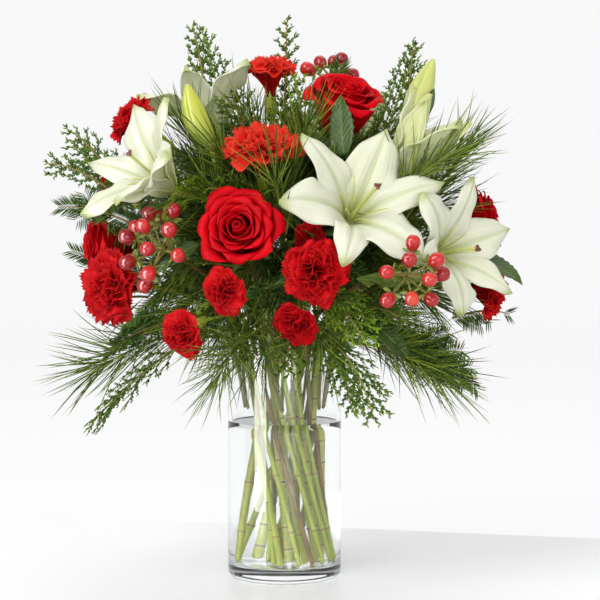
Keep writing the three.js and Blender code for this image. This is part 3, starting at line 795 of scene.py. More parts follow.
class Sprigs:
    """Gathers the points that needles, scales or berries grow from."""

    def __init__(self):
        self.parts = {"place": [], "aim": [], "side": [], "size": [], "shade": []}

    def add(self, place, aim, side, size, shade):
        count = len(place)
        self.parts["place"].append(place)
        for name, given in (("aim", aim), ("side", side)):
            self.parts[name].append(np.broadcast_to(given, (count, 3)))
        for name, given in (("size", size), ("shade", shade)):
            self.parts[name].append(np.broadcast_to(given, (count,)))

    def joined(self):
        return {name: np.concatenate(given) for name, given in self.parts.items()}

    def kept_inside(self, length, box):
        """Shortens what would reach out of a box."""
        parts = self.joined()
        place, aim, size = parts["place"], parts["aim"], parts["size"]
        low, high = np.asarray(box)
        way = unit(aim)
        with np.errstate(divide="ignore", invalid="ignore"):
            room = np.where(way > 0, (high - place) / way, (low - place) / way)
        room = np.nanmin(np.where(np.abs(way) < 1e-9, np.inf, room), axis=1)
        self.parts["size"] = [np.clip(np.minimum(size, room / length), 0.0, None)]

    def kept_clear(self, length, poses):
        """Drops what would pierce a bloom."""
        parts = self.joined()
        place, aim, size = parts["place"], parts["aim"], parts["size"]
        pierces = np.zeros(len(place), dtype=bool)
        for pose in poses:
            for share in (0.0, 0.35, 0.7, 1.0):
                own = place + unit(aim) * (size * length * share)[:, None] - pose.seat
                along = own @ pose.axis
                out = np.linalg.norm(own - along[:, None] * pose.axis, axis=1)
                widening = np.clip(along / pose.tip_height, 0, 1)
                reach = pose.radius * mix(0.3, 1.0, widening)
                pierces |= (along > -2 * MM) & (along < pose.depth * 1.06) & (out < reach)
        self.parts["size"] = [np.where(pierces, 0.0, size)]

    def thinned(self, most):
        """Keeps no more than so many, evenly picked, and makes them larger for it."""
        parts = self.joined()
        left = np.flatnonzero(parts["size"] > SMALLEST)
        picked = left[np.linspace(0, len(left) - 1, min(most, len(left))).astype(int)]
        self.parts = {key: [given[picked]] for key, given in parts.items()}
        self.parts["size"][0] = self.parts["size"][0] * min(1.5, math.sqrt(len(left) / len(picked)))

    def grow(self, name, material, length, width, flatness, curl, base, tip, segments, sides):
        """The finished mesh: one shape on each point."""
        parts = self.joined()
        keep = parts["size"] > SMALLEST
        mesh = bpy.data.meshes.new(name)
        mesh.from_pydata(parts["place"][keep], [], [])
        for key, kind, field in (("aim", "FLOAT_VECTOR", "vector"), ("side", "FLOAT_VECTOR", "vector"),
                                 ("size", "FLOAT", "value"), ("shade", "FLOAT", "value")):
            layer = mesh.attributes.new(key, kind, "POINT")
            layer.data.foreach_set(field, parts[key][keep].astype(np.float32).ravel())
        points = linked(name, mesh)
        group = bpy.data.node_groups.get("growth") or growth_tree()
        grown = points.modifiers.new("growth", "NODES")
        grown.node_group = group
        widest = (base / (base + tip)) ** base * (tip / (base + tip)) ** tip
        chosen = {
            "Length": length, "Width": width / widest, "Flatness": flatness, "Curl": curl, "Base": base,
            "Tip": tip, "Rings": segments, "Sides": sides, "Material": finish(material),
        }
        for socket in group.interface.items_tree:
            if socket.item_type == "SOCKET" and socket.in_out == "INPUT" and socket.name in chosen:
                grown[socket.identifier] = chosen[socket.name]
        graph = bpy.context.evaluated_depsgraph_get()
        shown = points.evaluated_get(graph)
        made = bpy.data.meshes.new_from_object(shown, preserve_all_data_layers=True, depsgraph=graph)
        made.name = name
        bpy.data.objects.remove(points)
        bpy.data.meshes.remove(mesh)
        return made


# ---- routes
VASE_LOW, VASE_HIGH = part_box("vase")
VASE_RADIUS = (VASE_HIGH[0] - VASE_LOW[0]) / 2
VASE_TOP = VASE_HIGH[2]
INNER_RADIUS = 47.8 * MM
# A twig's radius in the frame.
TWIG_RADIUS = 1.7 * MM
# Points along a stem's straight part, inside the vase.
STRAIGHT_STEPS = 30
# The blooms that a neighbour's stem carries.
BLOOM_STEMS = {
    "carnation_12": "carnation_1_stem", "carnation_4": "carnation_2_stem", "carnation_9": "carnation_7_stem",
    "lily_half_open": "lily_1_stem", "lily_bud_2": "lily_1_stem",
    "lily_4": "lily_2_stem", "lily_bud_1": "lily_2_stem",
}
# Where a stem that carries several blooms forks, in millimetres from the mouth's middle.
FORKS = {
    "carnation_1_stem": (16, -62, 42), "carnation_2_stem": (-46, -84, 33), "carnation_7_stem": (-84, 22, 117),
    "lily_1_stem": (50, -40, 97), "lily_2_stem": (-50, -18, 127),
}
# Greens: the twig's bend and tip from the mouth's middle, the share of it that carries leaves, and the
# side that its spray spreads to.
GREENS = {
    "pine_1": ((-36, -126, 33), (-62, -168, -39), 0.5, (1, 0, 0)),
    "pine_2": ((96, -86, 33), (146, -112, -33), 0.42, (1, 0, 0)),
    "pine_3": ((-116, -40, 23), (-186, -64, -27), 0.45, (1, 0, 0)),
    "pine_4": ((120, -10, 127), (176, -50, 201), 0.36, (1, 0, 0)),
    "cedar_1": ((-50, 96, 187), (-80, 102, 303), 0.42, (1, 0.2, 0)),
    "cedar_2": ((96, 44, 187), (122, 50, 283), 0.42, (1, -0.2, 0)),
    "cedar_3": ((-118, 112, 147), (-204, 76, 189), 0.4, (0.2, -0.4, 1)),
    "cedar_4": ((-112, -84, 7), (-166, -92, -61), 0.5, (0.5, -0.3, 0.8)),
    "cedar_5": ((60, -112, 19), (74, -142, -47), 0.55, (1, 0.3, 0)),
    "fir_1": ((-130, 66, 65), (-206, 46, 93), 0.4, (0.2, -0.3, 0.9)),
    "fir_2": ((120, -30, 35), (172, -60, -35), 0.45, (0.3, -0.6, 0.7)),
    "fir_3": ((40, 120, 27), (60, 170, -13), 0.5, (1, -0.2, 0)),
}
# Berry sprigs: the stem's end, the way it points there, how far the berries spread, and how many.
BERRIES = {
    "berry_sprig_1": ((-98, -100, 91), (-0.7, -0.6, 0.4), 34, 13),
    "berry_sprig_2": ((102, -132, 70), (0.3, -0.95, 0.0), 28, 9),
    "berry_sprig_3": ((42, 58, 249), (0.1, 0.1, 1.0), 22, 6),
}


def above(place):
    """A place given in millimetres from the middle of the vase's mouth."""
    return np.array(place) * MM + UP * VASE_TOP


def slot_of(stem, radius):
    """Where a stem ends in the vase, where it leaves the mouth, and the way it rises."""
    points = corners(stem)
    inside = points[np.hypot(points[:, 0], points[:, 1]) < INNER_RADIUS]
    bottom = inside[inside[:, 2] < VASE_TOP][:, 2].min()
    low, high = (crossing(stem, mix(bottom, VASE_TOP, share), INNER_RADIUS) for share in (0.15, 0.9))
    rising = unit(high - low)
    foot = low + rising * (bottom + 0.35 * radius - low[2]) / rising[2]
    return foot, high + rising * (VASE_TOP - high[2]) / rising[2], rising


def run(start, leaving, end, arriving):
    """A smooth run that leaves and arrives in the given directions."""
    apart = np.linalg.norm(end - start)
    return bezier((start, start + leaving * apart * 0.38, end - arriving * apart * 0.28, end), 40)


def reaches(path):
    """How far along a path each of its points is."""
    return np.concatenate([[0], np.cumsum(np.linalg.norm(np.diff(path, axis=0), axis=1))])


def at_reaches(path, wanted):
    """The points of a path at the wanted distances along it."""
    reach = reaches(path)
    return np.stack([np.interp(wanted, reach, path[:, i]) for i in range(3)], axis=1)


def spaced(path, spacing):
    """A path's points at an even spacing."""
    whole = reaches(path)[-1]
    even = np.linspace(0, whole, max(3, int(whole / spacing) + 1))
    return at_reaches(path, even), even


def part_of(path, first, last, count):
    """Evenly spaced places along a stretch of a path, and the path's direction at each."""
    reach = reaches(path)
    wanted = np.linspace(first, last, count) * reach[-1]
    way = unit(np.gradient(path, axis=0))
    heading = np.stack([np.interp(wanted, reach, way[:, i]) for i in range(3)], axis=1)
    return at_reaches(path, wanted), unit(heading)


def turn_from_up(heading):
    """The least turn that points +Z along a heading, as a matrix."""
    return np.array(Vector(UP).rotation_difference(Vector(heading)).to_matrix())


# ---- vase and water
class BOUQUET_PG_vase(bpy.types.PropertyGroup):
    """The glass cylinder and its water."""

    wall: metres("Wall", "Thickness of the glass wall", 0.0032)
    floor: metres("Floor", "Thickness of the heavy base", 0.013)
    foot_round: metres("Foot Round", "Radius of the base's edge", 0.006)
    inner_round: metres("Inner Round", "Radius inside the base", 0.005)
    meniscus: metres("Meniscus", "How far the water climbs the glass", 0.0007)
    sides: tally("Sides", "Faces around the glass", 128, 24)


# The least distance from the vase's axis, where the ends of a turned profile close.
AXIS_GAP = 0.4 * MM


def arc(centre, radius, start, stop, steps=10):
    angle = radians(np.linspace(start, stop, steps))
    return [(centre[0] + radius * math.cos(a), centre[1] + radius * math.sin(a)) for a in angle]


class Standing:
    """The pose of a thing that stands upright on the vase's axis."""

    @staticmethod
    def place(points):
        return points


def stand(name, profile, sides, material, slot, node):
    """Turns a profile about the vase's axis and makes it a finished piece."""
    shape = Shape()
    shape.turned(profile, Standing, sides, (0, 0, 0))
    piece(shape.mesh(name), material, slot, [node])


class BOUQUET_OT_vase(bpy.types.Operator):
    """Builds the glass cylinder with its heavy base"""

    bl_idname = "bouquet.vase"
    bl_label = "Vase"

    def execute(self, context):
        size = context.scene.bouquet_vase
        outer, top, floor = VASE_RADIUS, VASE_TOP, size.floor
        inner = outer - size.wall
        rim = size.wall * 0.48
        foot, well, rise = size.foot_round, size.inner_round, 0.4 * MM
        profile = [(AXIS_GAP, rise), (outer * 0.62, rise), (outer * 0.66, 0.0)]
        profile += arc((outer - foot, foot), foot, -90, 0)
        profile += [(outer, height) for height in np.linspace(foot * 1.2, top - rim * 1.1, 24)]
        profile += arc((outer - rim, top - rim), rim, 0, 90, 5)
        profile += arc((inner + rim, top - rim), rim, 90, 180, 5)
        profile += [(inner, height) for height in np.linspace(top - rim * 1.1, floor + well * 1.1, 24)]
        profile += arc((inner - well, floor + well), well, 0, -90) + [(AXIS_GAP, floor)]
        stand("glass_cylinder", profile, size.sides, "glass", "vase_glass", "vase")
        return {"FINISHED"}


class BOUQUET_OT_water(bpy.types.Operator):
    """Fills the vase with water"""

    bl_idname = "bouquet.water"
    bl_label = "Water"

    def execute(self, context):
        size = context.scene.bouquet_vase
        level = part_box("water")[1][2]
        overlap = 0.25 * MM
        reach = VASE_RADIUS - size.wall + overlap
        floor = size.floor - overlap
        well = size.inner_round
        climb, edge = size.meniscus, 1.4 * MM
        share = np.linspace(0, 1, 8)[1:]
        profile = [(AXIS_GAP, floor)] + arc((reach - well, floor + well), well, -90, 0)
        profile += [(reach, height) for height in np.linspace(floor + well * 1.1, level + climb, 16)]
        profile += [(reach - edge * s, level + climb * (1 - s) ** 2) for s in share]
        profile += [(reach * s, level) for s in (0.85, 0.6, 0.3, 0.01)]
        stand("water_fill", profile, size.sides, "water", "water", "water")
        return {"FINISHED"}


# ---- stems
class BOUQUET_PG_stems(bpy.types.PropertyGroup):
    """The cut stems, which stand crossed in the vase."""

    rose: metres("Rose Stem", "Radius of a rose's stem", 0.0028)
    lily: metres("Lily Stem", "Radius of a lily's stem", 0.0034)
    carnation: metres("Carnation Stem", "Radius of a carnation's stem", 0.0019)
    node_spacing: metres("Node Spacing", "Between two nodes of a carnation's stem", 0.052)
    calyx: metres("Calyx", "Length of a carnation's calyx", 0.022)


# Between two rings of a stem, and how far a node's swelling reaches to each side.
STEM_STEP = 2.4 * MM
NODE_REACH = 2.4 * MM


def stem_tube(shape, path, radius, spacing, swelling, skin, slant=0.0, sides=14, taper=0.0):
    """A stem with swollen nodes. Its tint is the share along it, how near a node is, and its skin."""
    path, reach = spaced(path, STEM_STEP)
    nodes = np.arange(spacing * 0.6, reach[-1], spacing)
    near = np.exp(-(((reach[:, None] - nodes) / NODE_REACH) ** 2)).sum(axis=1)
    grain = 1 + 0.03 * np.sin(reach / MM * 0.31) + 0.02 * np.sin(reach / MM * 0.83 + 1)
    share = reach / reach[-1]
    girth = radius * (1 + swelling * near) * grain * (1 - taper * share**2)
    grid = path[:, None] + rings(path, sides) * girth[:, None, None]
    if slant:
        way = unit(path[1] - path[0])
        grid[0] += way * (slant * radius * (1 + np.cos(all_round(sides))))[:, None]
    shape.capped(grid, tinted(grid, share[:, None], near[:, None], skin))
    return path


# The calyx's outline, as its height below the bloom and its radius, in shares.
CALYX = ((-1.0, 0.45), (-0.97, 0.62), (-0.85, 0.8), (-0.6, 0.92), (-0.3, 1.0), (0.0, 1.02), (0.16, 1.05))
CALYX_RADIUS = 5.4 * MM


def calyx(shape, pose, length, scale):
    """The green tube under a carnation, with five teeth at its mouth."""
    length, sides = length * scale, 20
    rows = np.array(CALYX)
    angle = all_round(sides)
    rib = 1 + 0.03 * np.cos(10 * angle)
    out = rows[:, 1:] * CALYX_RADIUS * scale * rib
    up = np.broadcast_to(rows[:, :1] * length, out.shape).copy()
    up[-1] += np.where(np.arange(sides) % 4 == 0, 0.2, -0.12) * length
    grid = np.stack([out * np.cos(angle), out * np.sin(angle), up], axis=-1)
    paleness = (rows[:, :1] < -0.9) * 0.6 + np.abs(np.sin(5 * angle)) * 0.12
    shape.capped(pose.place(grid), tinted(grid, 1.0, paleness, 0.0))


def receptacle(shape, pose, radius, length):
    """The swelling under a rose or a lily."""
    rows = [(0.35, -1.0), (0.6, -0.85), (0.95, -0.55), (1.0, -0.25), (0.86, 0.0), (0.5, 0.12)]
    shape.turned([(out * radius, up * length) for out, up in rows], pose, 16, (1.0, 0.25, 0.0))


# How much a stem's nodes swell, and how thick a pedicel is against its stem.
SWELLING = {"carnation": 0.42, "rose": 0.12, "lily": 0.06}
PEDICEL = {"carnation": 0.72, "lily": 0.68}
# The radius and length of the swelling under a bloom.
RECEPTACLE = {"rose": (6.4 * MM, 9 * MM), "lily": (4.6 * MM, 8 * MM)}
# The radius of a carnation whose calyx has its full size, and how far a stalk ends below its bloom.
FULL_CARNATION = 28 * MM
BELOW_BLOOM = 3 * MM


def make_stem(name, blooms, size):
    """One cut stem with all its stalks, calyxes and thorns, in place of the frame's."""
    kind = name.split("_")[0]
    radius = getattr(size, kind)
    foot, mouth, rising = slot_of(name, radius)
    shape = Shape()
    swelling = SWELLING[kind]
    spacing = {"carnation": size.node_spacing, "rose": 45 * MM, "lily": 20 * MM}[kind]
    straight = np.linspace(foot, mouth, STRAIGHT_STEPS)[:-1]
    poses = [Pose(bloom, name) for bloom in blooms]
    ends = [pose.seat - pose.axis * BELOW_BLOOM for pose in poses]
    if name in FORKS:
        fork = above(FORKS[name])
        onward = unit(fork - mouth)
        upper = run(mouth, rising, fork, onward)
        start = fork - onward * radius
        for pose, end in zip(poses, ends):
            stalk = run(start, onward, end, pose.axis)
            stem_tube(shape, stalk, radius * PEDICEL[kind], spacing, swelling, 1.0, sides=12)
    else:
        upper = run(mouth, rising, ends[0], poses[0].axis)
    path = stem_tube(shape, np.concatenate([straight, upper]), radius, spacing, swelling, 0.0, slant=0.7)
    for pose in poses:
        if kind == "carnation":
            calyx(shape, pose, size.calyx, min(1.0, pose.radius / FULL_CARNATION))
        else:
            receptacle(shape, pose, *RECEPTACLE[kind])
    if kind == "rose":
        thorns(shape, path, radius, name)
    piece(shape.mesh(name + "_cut"), kind + " stem", "stem", [name])


def thorns(shape, path, radius, name):
    """A few thorns along a rose's stem."""
    draw = np.random.default_rng(sum(map(ord, name)))
    side, across = square_to(path)
    for index in draw.integers(6, len(path) - 12, 7):
        out = round_about(side[index], across[index], draw.uniform(0, 2 * math.pi))
        way = unit(path[index + 1] - path[index])
        length = draw.uniform(3.2, 4.6) * MM
        base = path[index] + out * radius * 0.8
        bend = base + out * length * 0.5 - way * length * 0.05
        spine = np.array([base, bend, base + out * length - way * length * 0.3])
        shape.tube(spine, np.array([1.5, 0.8, 0.15]) * MM, 6, (0.5, 0.8, 0.0))


def is_bloom(name):
    return name.startswith(("rose", "carnation", "lily")) and "stem" not in name


BLOOMS = [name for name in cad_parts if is_bloom(name)]


def stem_of(bloom):
    return BLOOM_STEMS.get(bloom, bloom + "_stem")


def blooms_of(kind):
    """The blooms of one kind, each with its pose."""
    return [(name, Pose(name, stem_of(name))) for name in BLOOMS if name.startswith(kind)]


class BOUQUET_OT_stems(bpy.types.Operator):
    """Builds the cut stems of the roses, lilies and carnations"""

    bl_idname = "bouquet.stems"
    bl_label = "Stems"

    def execute(self, context):
        carried = {}
        for bloom in BLOOMS:
            carried.setdefault(stem_of(bloom), []).append(bloom)
        for name, blooms in carried.items():
            make_stem(name, blooms, context.scene.bouquet_stems)
        return {"FINISHED"}


# ---- petals
def swept(angles, out_reach, up_reach, start):
    """A petal's centreline: it sets off from a place and turns through angles above the horizontal.

    The line is then stretched so that its end lies at a given distance out and its top at a given height.
    """
    middle_angle = (angles[1:] + angles[:-1]) / 2
    out = np.concatenate([[0], np.cumsum(np.cos(middle_angle))])
    up = np.concatenate([[0], np.cumsum(np.sin(middle_angle))])
    widest = out[np.abs(out).argmax()]
    out = out * (out_reach - start[0]) / max(abs(widest), 1e-3) * np.sign(widest)
    return out + start[0], up / up.max() * (up_reach - start[1]) + start[1]


def wrapped(out, up, bearing, reach, tightness):
    """A petal's points: its centreline out and up, wrapped about the bloom's axis by a reach to each side."""
    wrap = np.maximum(out, tightness)
    angle = bearing + reach / wrap
    grid = np.empty(reach.shape + (3,))
    grid[..., 0] = (out - wrap) * np.cos(bearing) + wrap * np.cos(angle)
    grid[..., 1] = (out - wrap) * np.sin(bearing) + wrap * np.sin(angle)
    grid[..., 2] = up
    return grid


def lifted(grid, lift):
    """A grid of points, each moved by its lift square to the grid."""
    square = unit(np.cross(np.gradient(grid, axis=1), np.gradient(grid, axis=0)) + 1e-12)
    return grid + square * lift[..., None]


def eased(along, start, length):
    """How far a line is from start on over a length, from 0 to 1."""
    return np.clip((along - start) / length, 0, 1)


class BOUQUET_PG_carnation(bpy.types.PropertyGroup):
    """The carnations."""

    petals: tally("Petals", "Petals in a carnation of full size", 34, 8)
    spread: turning("Spread", "How far the outermost petals lean from the axis", 1.72)
    ruffle: ratio("Ruffle", "Height of a petal's ruffles as a share of the bloom's radius", 0.15)
    fullness: ratio("Fullness", "Size of the ruffled bloom against the frame's plain one", 1.1)
    tooth: ratio("Tooth", "Depth of the rim's teeth as a share of the petal's length", 0.034)
    thickness: metres("Thickness", "Thickness of a petal", 0.0004)


# How far a carnation's petals rise past the depth that they are sized by.
CROWN = 1.14


def carnation_petal(shape, draw, size, pose, place, columns=33):
    """One ruffled petal. place runs from 0 at the heart to 1 at the outside."""
    radius, depth = pose.radius * size.fullness, pose.depth / CROWN
    rows = np.array([0.0, 0.25, 0.42, 0.55, 0.66, 0.76, 0.85, 0.93, 1.0])
    u = np.linspace(-1, 1, columns)
    lean = size.spread * (0.22 + 0.78 * place**0.7) * draw.uniform(0.84, 1.08)
    steps = np.linspace(0, 1, 40)
    angles = math.pi / 2 - lean * smooth(eased(steps, 0.1, 0.6))
    out_reach = radius * (0.1 + 0.87 * place**0.66) * draw.uniform(0.93, 1.0)
    up_reach = depth * mix(1.16, 0.84, place**1.8) * draw.uniform(0.92, 1.02)
    out, up = swept(angles, out_reach, up_reach, (0.04 * radius + 0.05 * radius * place, 0.0))
    bearing = draw.uniform(-0.3, 0.3) + place * size.petals * GOLDEN_ANGLE
    half = radius * mix(0.42, 0.58, place**0.7) * draw.uniform(0.9, 1.1)
    fan = 0.14 + 0.86 * eased(rows, 0.08, 0.8) ** 1.1
    zigzag = np.where(np.arange(columns) % 2, 1.0, -1.0)
    tooth = zigzag * draw.uniform(0.4, 1.4, columns) * size.tooth
    notch = -0.06 * np.exp(-(((u - draw.uniform(-0.5, 0.5)) / 0.09) ** 2))
    rounded = 1 - 0.14 * u**2 - 0.2 * u**8
    wobble = 0.03 * np.sin(u * draw.uniform(3, 6) + draw.uniform(0, 6))
    share = rows[:, None] * (rounded + wobble) + (rows[:, None] ** 14) * (tooth + notch)
    share = np.clip(share, 0, 1.08)
    out, up = extended(share, steps, out), extended(share, steps, up)
    grid = wrapped(out, up, bearing, half * fan[:, None] * u, 0.5 * radius)
    phase = draw.uniform(0, 2 * math.pi, 3)
    wave = np.sin(u * draw.uniform(3.6, 5.6) + phase[0]) + 0.4 * np.sin(u * draw.uniform(8, 10) + phase[1])
    crumple = mix(1.15, 0.72, place)
    lift = size.ruffle * radius * crumple * rows[:, None] ** 2.2 * wave
    fold = np.sin(rows[:, None] * 7 + phase[2]) * (1 - np.abs(u))
    grid = lifted(grid, lift + 0.05 * radius * rows[:, None] * fold)
    # A random tone per petal, plus painted shade that darkens the inner petals.
    shade = draw.uniform(0, 1) * 0.5 + (1 - place) * 0.3
    shape.patch(pose.place(grid), tinted(grid, rows[:, None], u, shade))


def extended(share, steps, line):
    """A line's value at shares that may run a little past its end."""
    past = np.maximum(share - 1, 0) * (line[-1] - line[-2]) * (len(steps) - 1)
    return np.interp(share, steps, line) + past


CORAL_CARNATIONS = ("carnation_5", "carnation_6")
LARGE_CARNATIONS = ("carnation_5", "carnation_3")
LARGER = 1.14


class BOUQUET_OT_carnations(bpy.types.Operator):
    """Builds the carnations' ruffled petals"""

    bl_idname = "bouquet.carnations"
    bl_label = "Carnations"

    def execute(self, context):
        size = context.scene.bouquet_carnation
        for name, pose in blooms_of("carnation"):
            draw = np.random.default_rng(int(name.split("_")[1]))
            if name in LARGE_CARNATIONS:
                pose.radius *= LARGER
            count = int(size.petals * min(1.0, 0.45 + 0.55 * pose.radius / (30 * MM)))
            shape = Shape()
            for index in range(count):
                carnation_petal(shape, draw, size, pose, index / (count - 1))
            skin = "coral carnation" if name in CORAL_CARNATIONS else "carnation"
            piece(shape.mesh(name + "_petals"), skin, "carnation_petals", [name], size.thickness)
        return {"FINISHED"}


class BOUQUET_PG_rose(bpy.types.PropertyGroup):
    """The roses."""

    petals: tally("Petals", "Petals in a rose", 30, 8)
    roll: turning("Roll", "How far the outer petals' rims roll back", 2.5)
    heart: ratio("Heart", "Radius of the closed heart as a share", 0.08)
    thickness: metres("Thickness", "Thickness of a petal", 0.0005)


def rose_petal(shape, draw, size, pose, place, bearing, columns=19):
    """One cupped petal with a rolled rim. place runs from 0 at the heart to 1 at the outside."""
    radius, depth = pose.radius, pose.depth
    rows = np.concatenate([np.linspace(0, 0.7, 8), np.linspace(0.76, 1.0, 9)])
    u = np.linspace(-1, 1, columns)
    steps = np.linspace(0, 1, 80)
    open_start = mix(1.25, 0.35, place**0.7)
    upright = mix(1.72, 1.12, place**1.3)
    roll = size.roll * eased(place, 0.12, 0.6) ** 0.8 * draw.uniform(0.85, 1.1)
    rim = eased(steps, mix(0.9, 0.74, place), mix(0.1, 0.26, place))
    angles = mix(open_start, upright, smooth(eased(steps, 0, 0.5))) - roll * rim**1.3
    top_out = radius * (size.heart + (0.98 - size.heart) * place**0.92)
    top_up = depth * mix(0.99, 0.8, eased(place, 0.35, 0.65) ** 1.2) * draw.uniform(0.97, 1.02)
    out, up = swept(angles, top_out, top_up, (0.05 * radius, 0.02 * depth))
    half = radius * mix(0.34, 0.62, place**0.6) * draw.uniform(0.93, 1.07)
    blade = 0.35 + 0.65 * eased(rows, 0, 0.55) ** 0.8
    peak = draw.uniform(0.02, 0.07) * place * np.exp(-(((u - draw.uniform(-0.15, 0.15)) / 0.16) ** 2))
    point = 1 - (0.07 + 0.15 * place) * np.abs(u) ** 1.3 - 0.16 * np.abs(u) ** 7 + peak
    share = np.clip(rows[:, None] * point, 0, 1)
    spiral = 1 + (0.12 - 0.05 * place) * u * (1 if draw.random() < 0.85 else -1)
    out, up = np.interp(share, steps, out) * spiral, np.interp(share, steps, up)
    grid = wrapped(out, up, bearing, half * blade[:, None] * u, (0.06 + 0.1 * place) * radius)
    phase = draw.uniform(0, 2 * math.pi, 2)
    lift = 0.03 * radius * rows[:, None] ** 3 * np.sin(u * draw.uniform(2.5, 4.5) + phase[0])
    lift = lift + 0.012 * radius * rows[:, None] ** 2 * np.sin(u * 9 + rows[:, None] * 5 + phase[1])
    grid = lifted(grid, lift * np.clip(place * 2.5, 0.2, 1))
    # A random tone per petal, plus painted shade that darkens the inner petals.
    shade = draw.uniform(0, 0.5) + (1 - place) * 0.3
    shape.patch(pose.place(grid), tinted(grid, rows[:, None], u, shade))


# From one petal of a rose to the next, round its axis.
PETAL_TURN = radians(135.5)


class BOUQUET_OT_roses(bpy.types.Operator):
    """Builds the roses' spiral of petals, and the sepals under them"""

    bl_idname = "bouquet.roses"
    bl_label = "Roses"

    def execute(self, context):
        size = context.scene.bouquet_rose
        for name, pose in blooms_of("rose"):
            draw = np.random.default_rng(40 + int(name.split("_")[1]))
            shape = Shape()
            for index in range(size.petals):
                place = index / (size.petals - 1)
                bearing = index * PETAL_TURN + draw.uniform(-0.2, 0.2)
                rose_petal(shape, draw, size, pose, place, bearing)
            piece(shape.mesh(name + "_petals"), "rose", "rose_petals", [name], size.thickness)
            self.sepals(name, pose, draw)
        return {"FINISHED"}

    def sepals(self, name, pose, draw):
        shape = Shape()
        for index in range(5):
            out = round_about(pose.x, pose.y, radians(72 * index + 15))
            base = pose.seat + out * 4.6 * MM - pose.axis * 2.4 * MM
            heading = unit(out + pose.axis * draw.uniform(-0.2, 0.35))
            leaf(shape, base, heading, pose.axis, draw.uniform(24, 30) * MM, 7 * MM, droop=-0.45)
        piece(shape.mesh(name + "_sepals"), "sepal", "stem", thickness=0.5 * MM)


# ---- lilies
class BOUQUET_PG_lily(bpy.types.PropertyGroup):
    """The lilies."""

    opening: turning("Opening", "Angle from the axis at which the petals leave the throat", 0.23)
    broad: ratio("Broad", "Width of a petal as a share of its length", 0.5)
    channel: ratio("Channel", "Depth of the midrib's groove as a share of the width", 0.07)
    thickness: metres("Thickness", "Thickness of a petal", 0.0011)


# How far the half-open lily's petals reach out, as a share, and the angle at which they leave its throat.
HALF_OPEN, HALF_OPEN_ANGLE = 0.78, radians(20)
PALE_BUD = "lily_bud_2"
# The collar inside a lily's throat, as its radius and height in millimetres.
THROAT_COLLAR = ((3.6, -0.1), (4.6, 2), (5.0, 5), (3.4, 7))


def lily_petal(shape, draw, size, pose, index, first, opened=1.0):
    """One petal that bends outward in an arc, with a groove along it and wavy edges."""
    rows, columns, foot = 30, 17, 0.5 * MM
    inner = index % 2
    root = (2.5 if inner else 5.2) * MM
    chord_out, chord_up = (pose.radius - root - 1.0 * MM) * opened, pose.tip_height - foot
    last = 2 * math.atan2(chord_out, chord_up) - first
    chord = math.hypot(chord_out, chord_up)
    bend = chord / (2 * math.sin((last - first) / 2))
    length = bend * (last - first)
    v = np.linspace(0, 1, rows)[:, None]
    u = np.linspace(-1, 1, columns)[None, :]
    last = last + draw.uniform(-0.12, 0.12) + (0.1 if inner else -0.02)
    angle = mix(first, last, v) + 0.5 * np.clip(v - 0.72, 0, 1) ** 1.5
    step = np.diff(v, axis=0) * length
    out = root + np.cumsum(np.concatenate([[[0]], step * np.sin(angle[1:])]), axis=0)
    up = foot + np.cumsum(np.concatenate([[[0]], step * np.cos(angle[1:])]), axis=0)
    width = length * size.broad * (1.0 if inner else 0.72) * mix(0.6, 1.0, opened)
    half = width / 2 * np.sin(math.pi * (0.07 + 0.93 * v) ** 0.9) ** 0.72
    bearing = radians(60 * index) + draw.uniform(-0.07, 0.07)
    phase = draw.uniform(0, 2 * math.pi, 2)
    groove = -size.channel * width * np.exp(-((u / 0.14) ** 2)) * np.sin(math.pi * v) ** 0.5
    arch = -width * (0.16 - 0.26 * (1 - v)) * u**2
    swell = np.sin(math.pi * v)
    wave = width * 0.085 * np.sin(v * 15 + phase[0] + np.sign(u) * 1.3) * np.abs(u) ** 2.2 * swell
    ribs = width * 0.006 * np.cos(u * 16) * swell
    lift = groove + arch + wave + ribs
    twist = draw.uniform(-0.22, 0.22) * v**2
    across = half * u * np.cos(twist)
    lift = lift + half * u * np.sin(twist)
    radial = out - lift * np.cos(angle)
    grid = np.stack([
        radial * math.cos(bearing) - across * math.sin(bearing),
        radial * math.sin(bearing) + across * math.cos(bearing),
        up + lift * np.sin(angle),
    ], axis=-1)
    shade = draw.uniform(0, 0.25) + (1 - opened) * (2.2 if inner else 4.4)
    shape.patch(pose.place(grid[:, ::-1]), tinted(grid, v, u, shade)[:, ::-1])


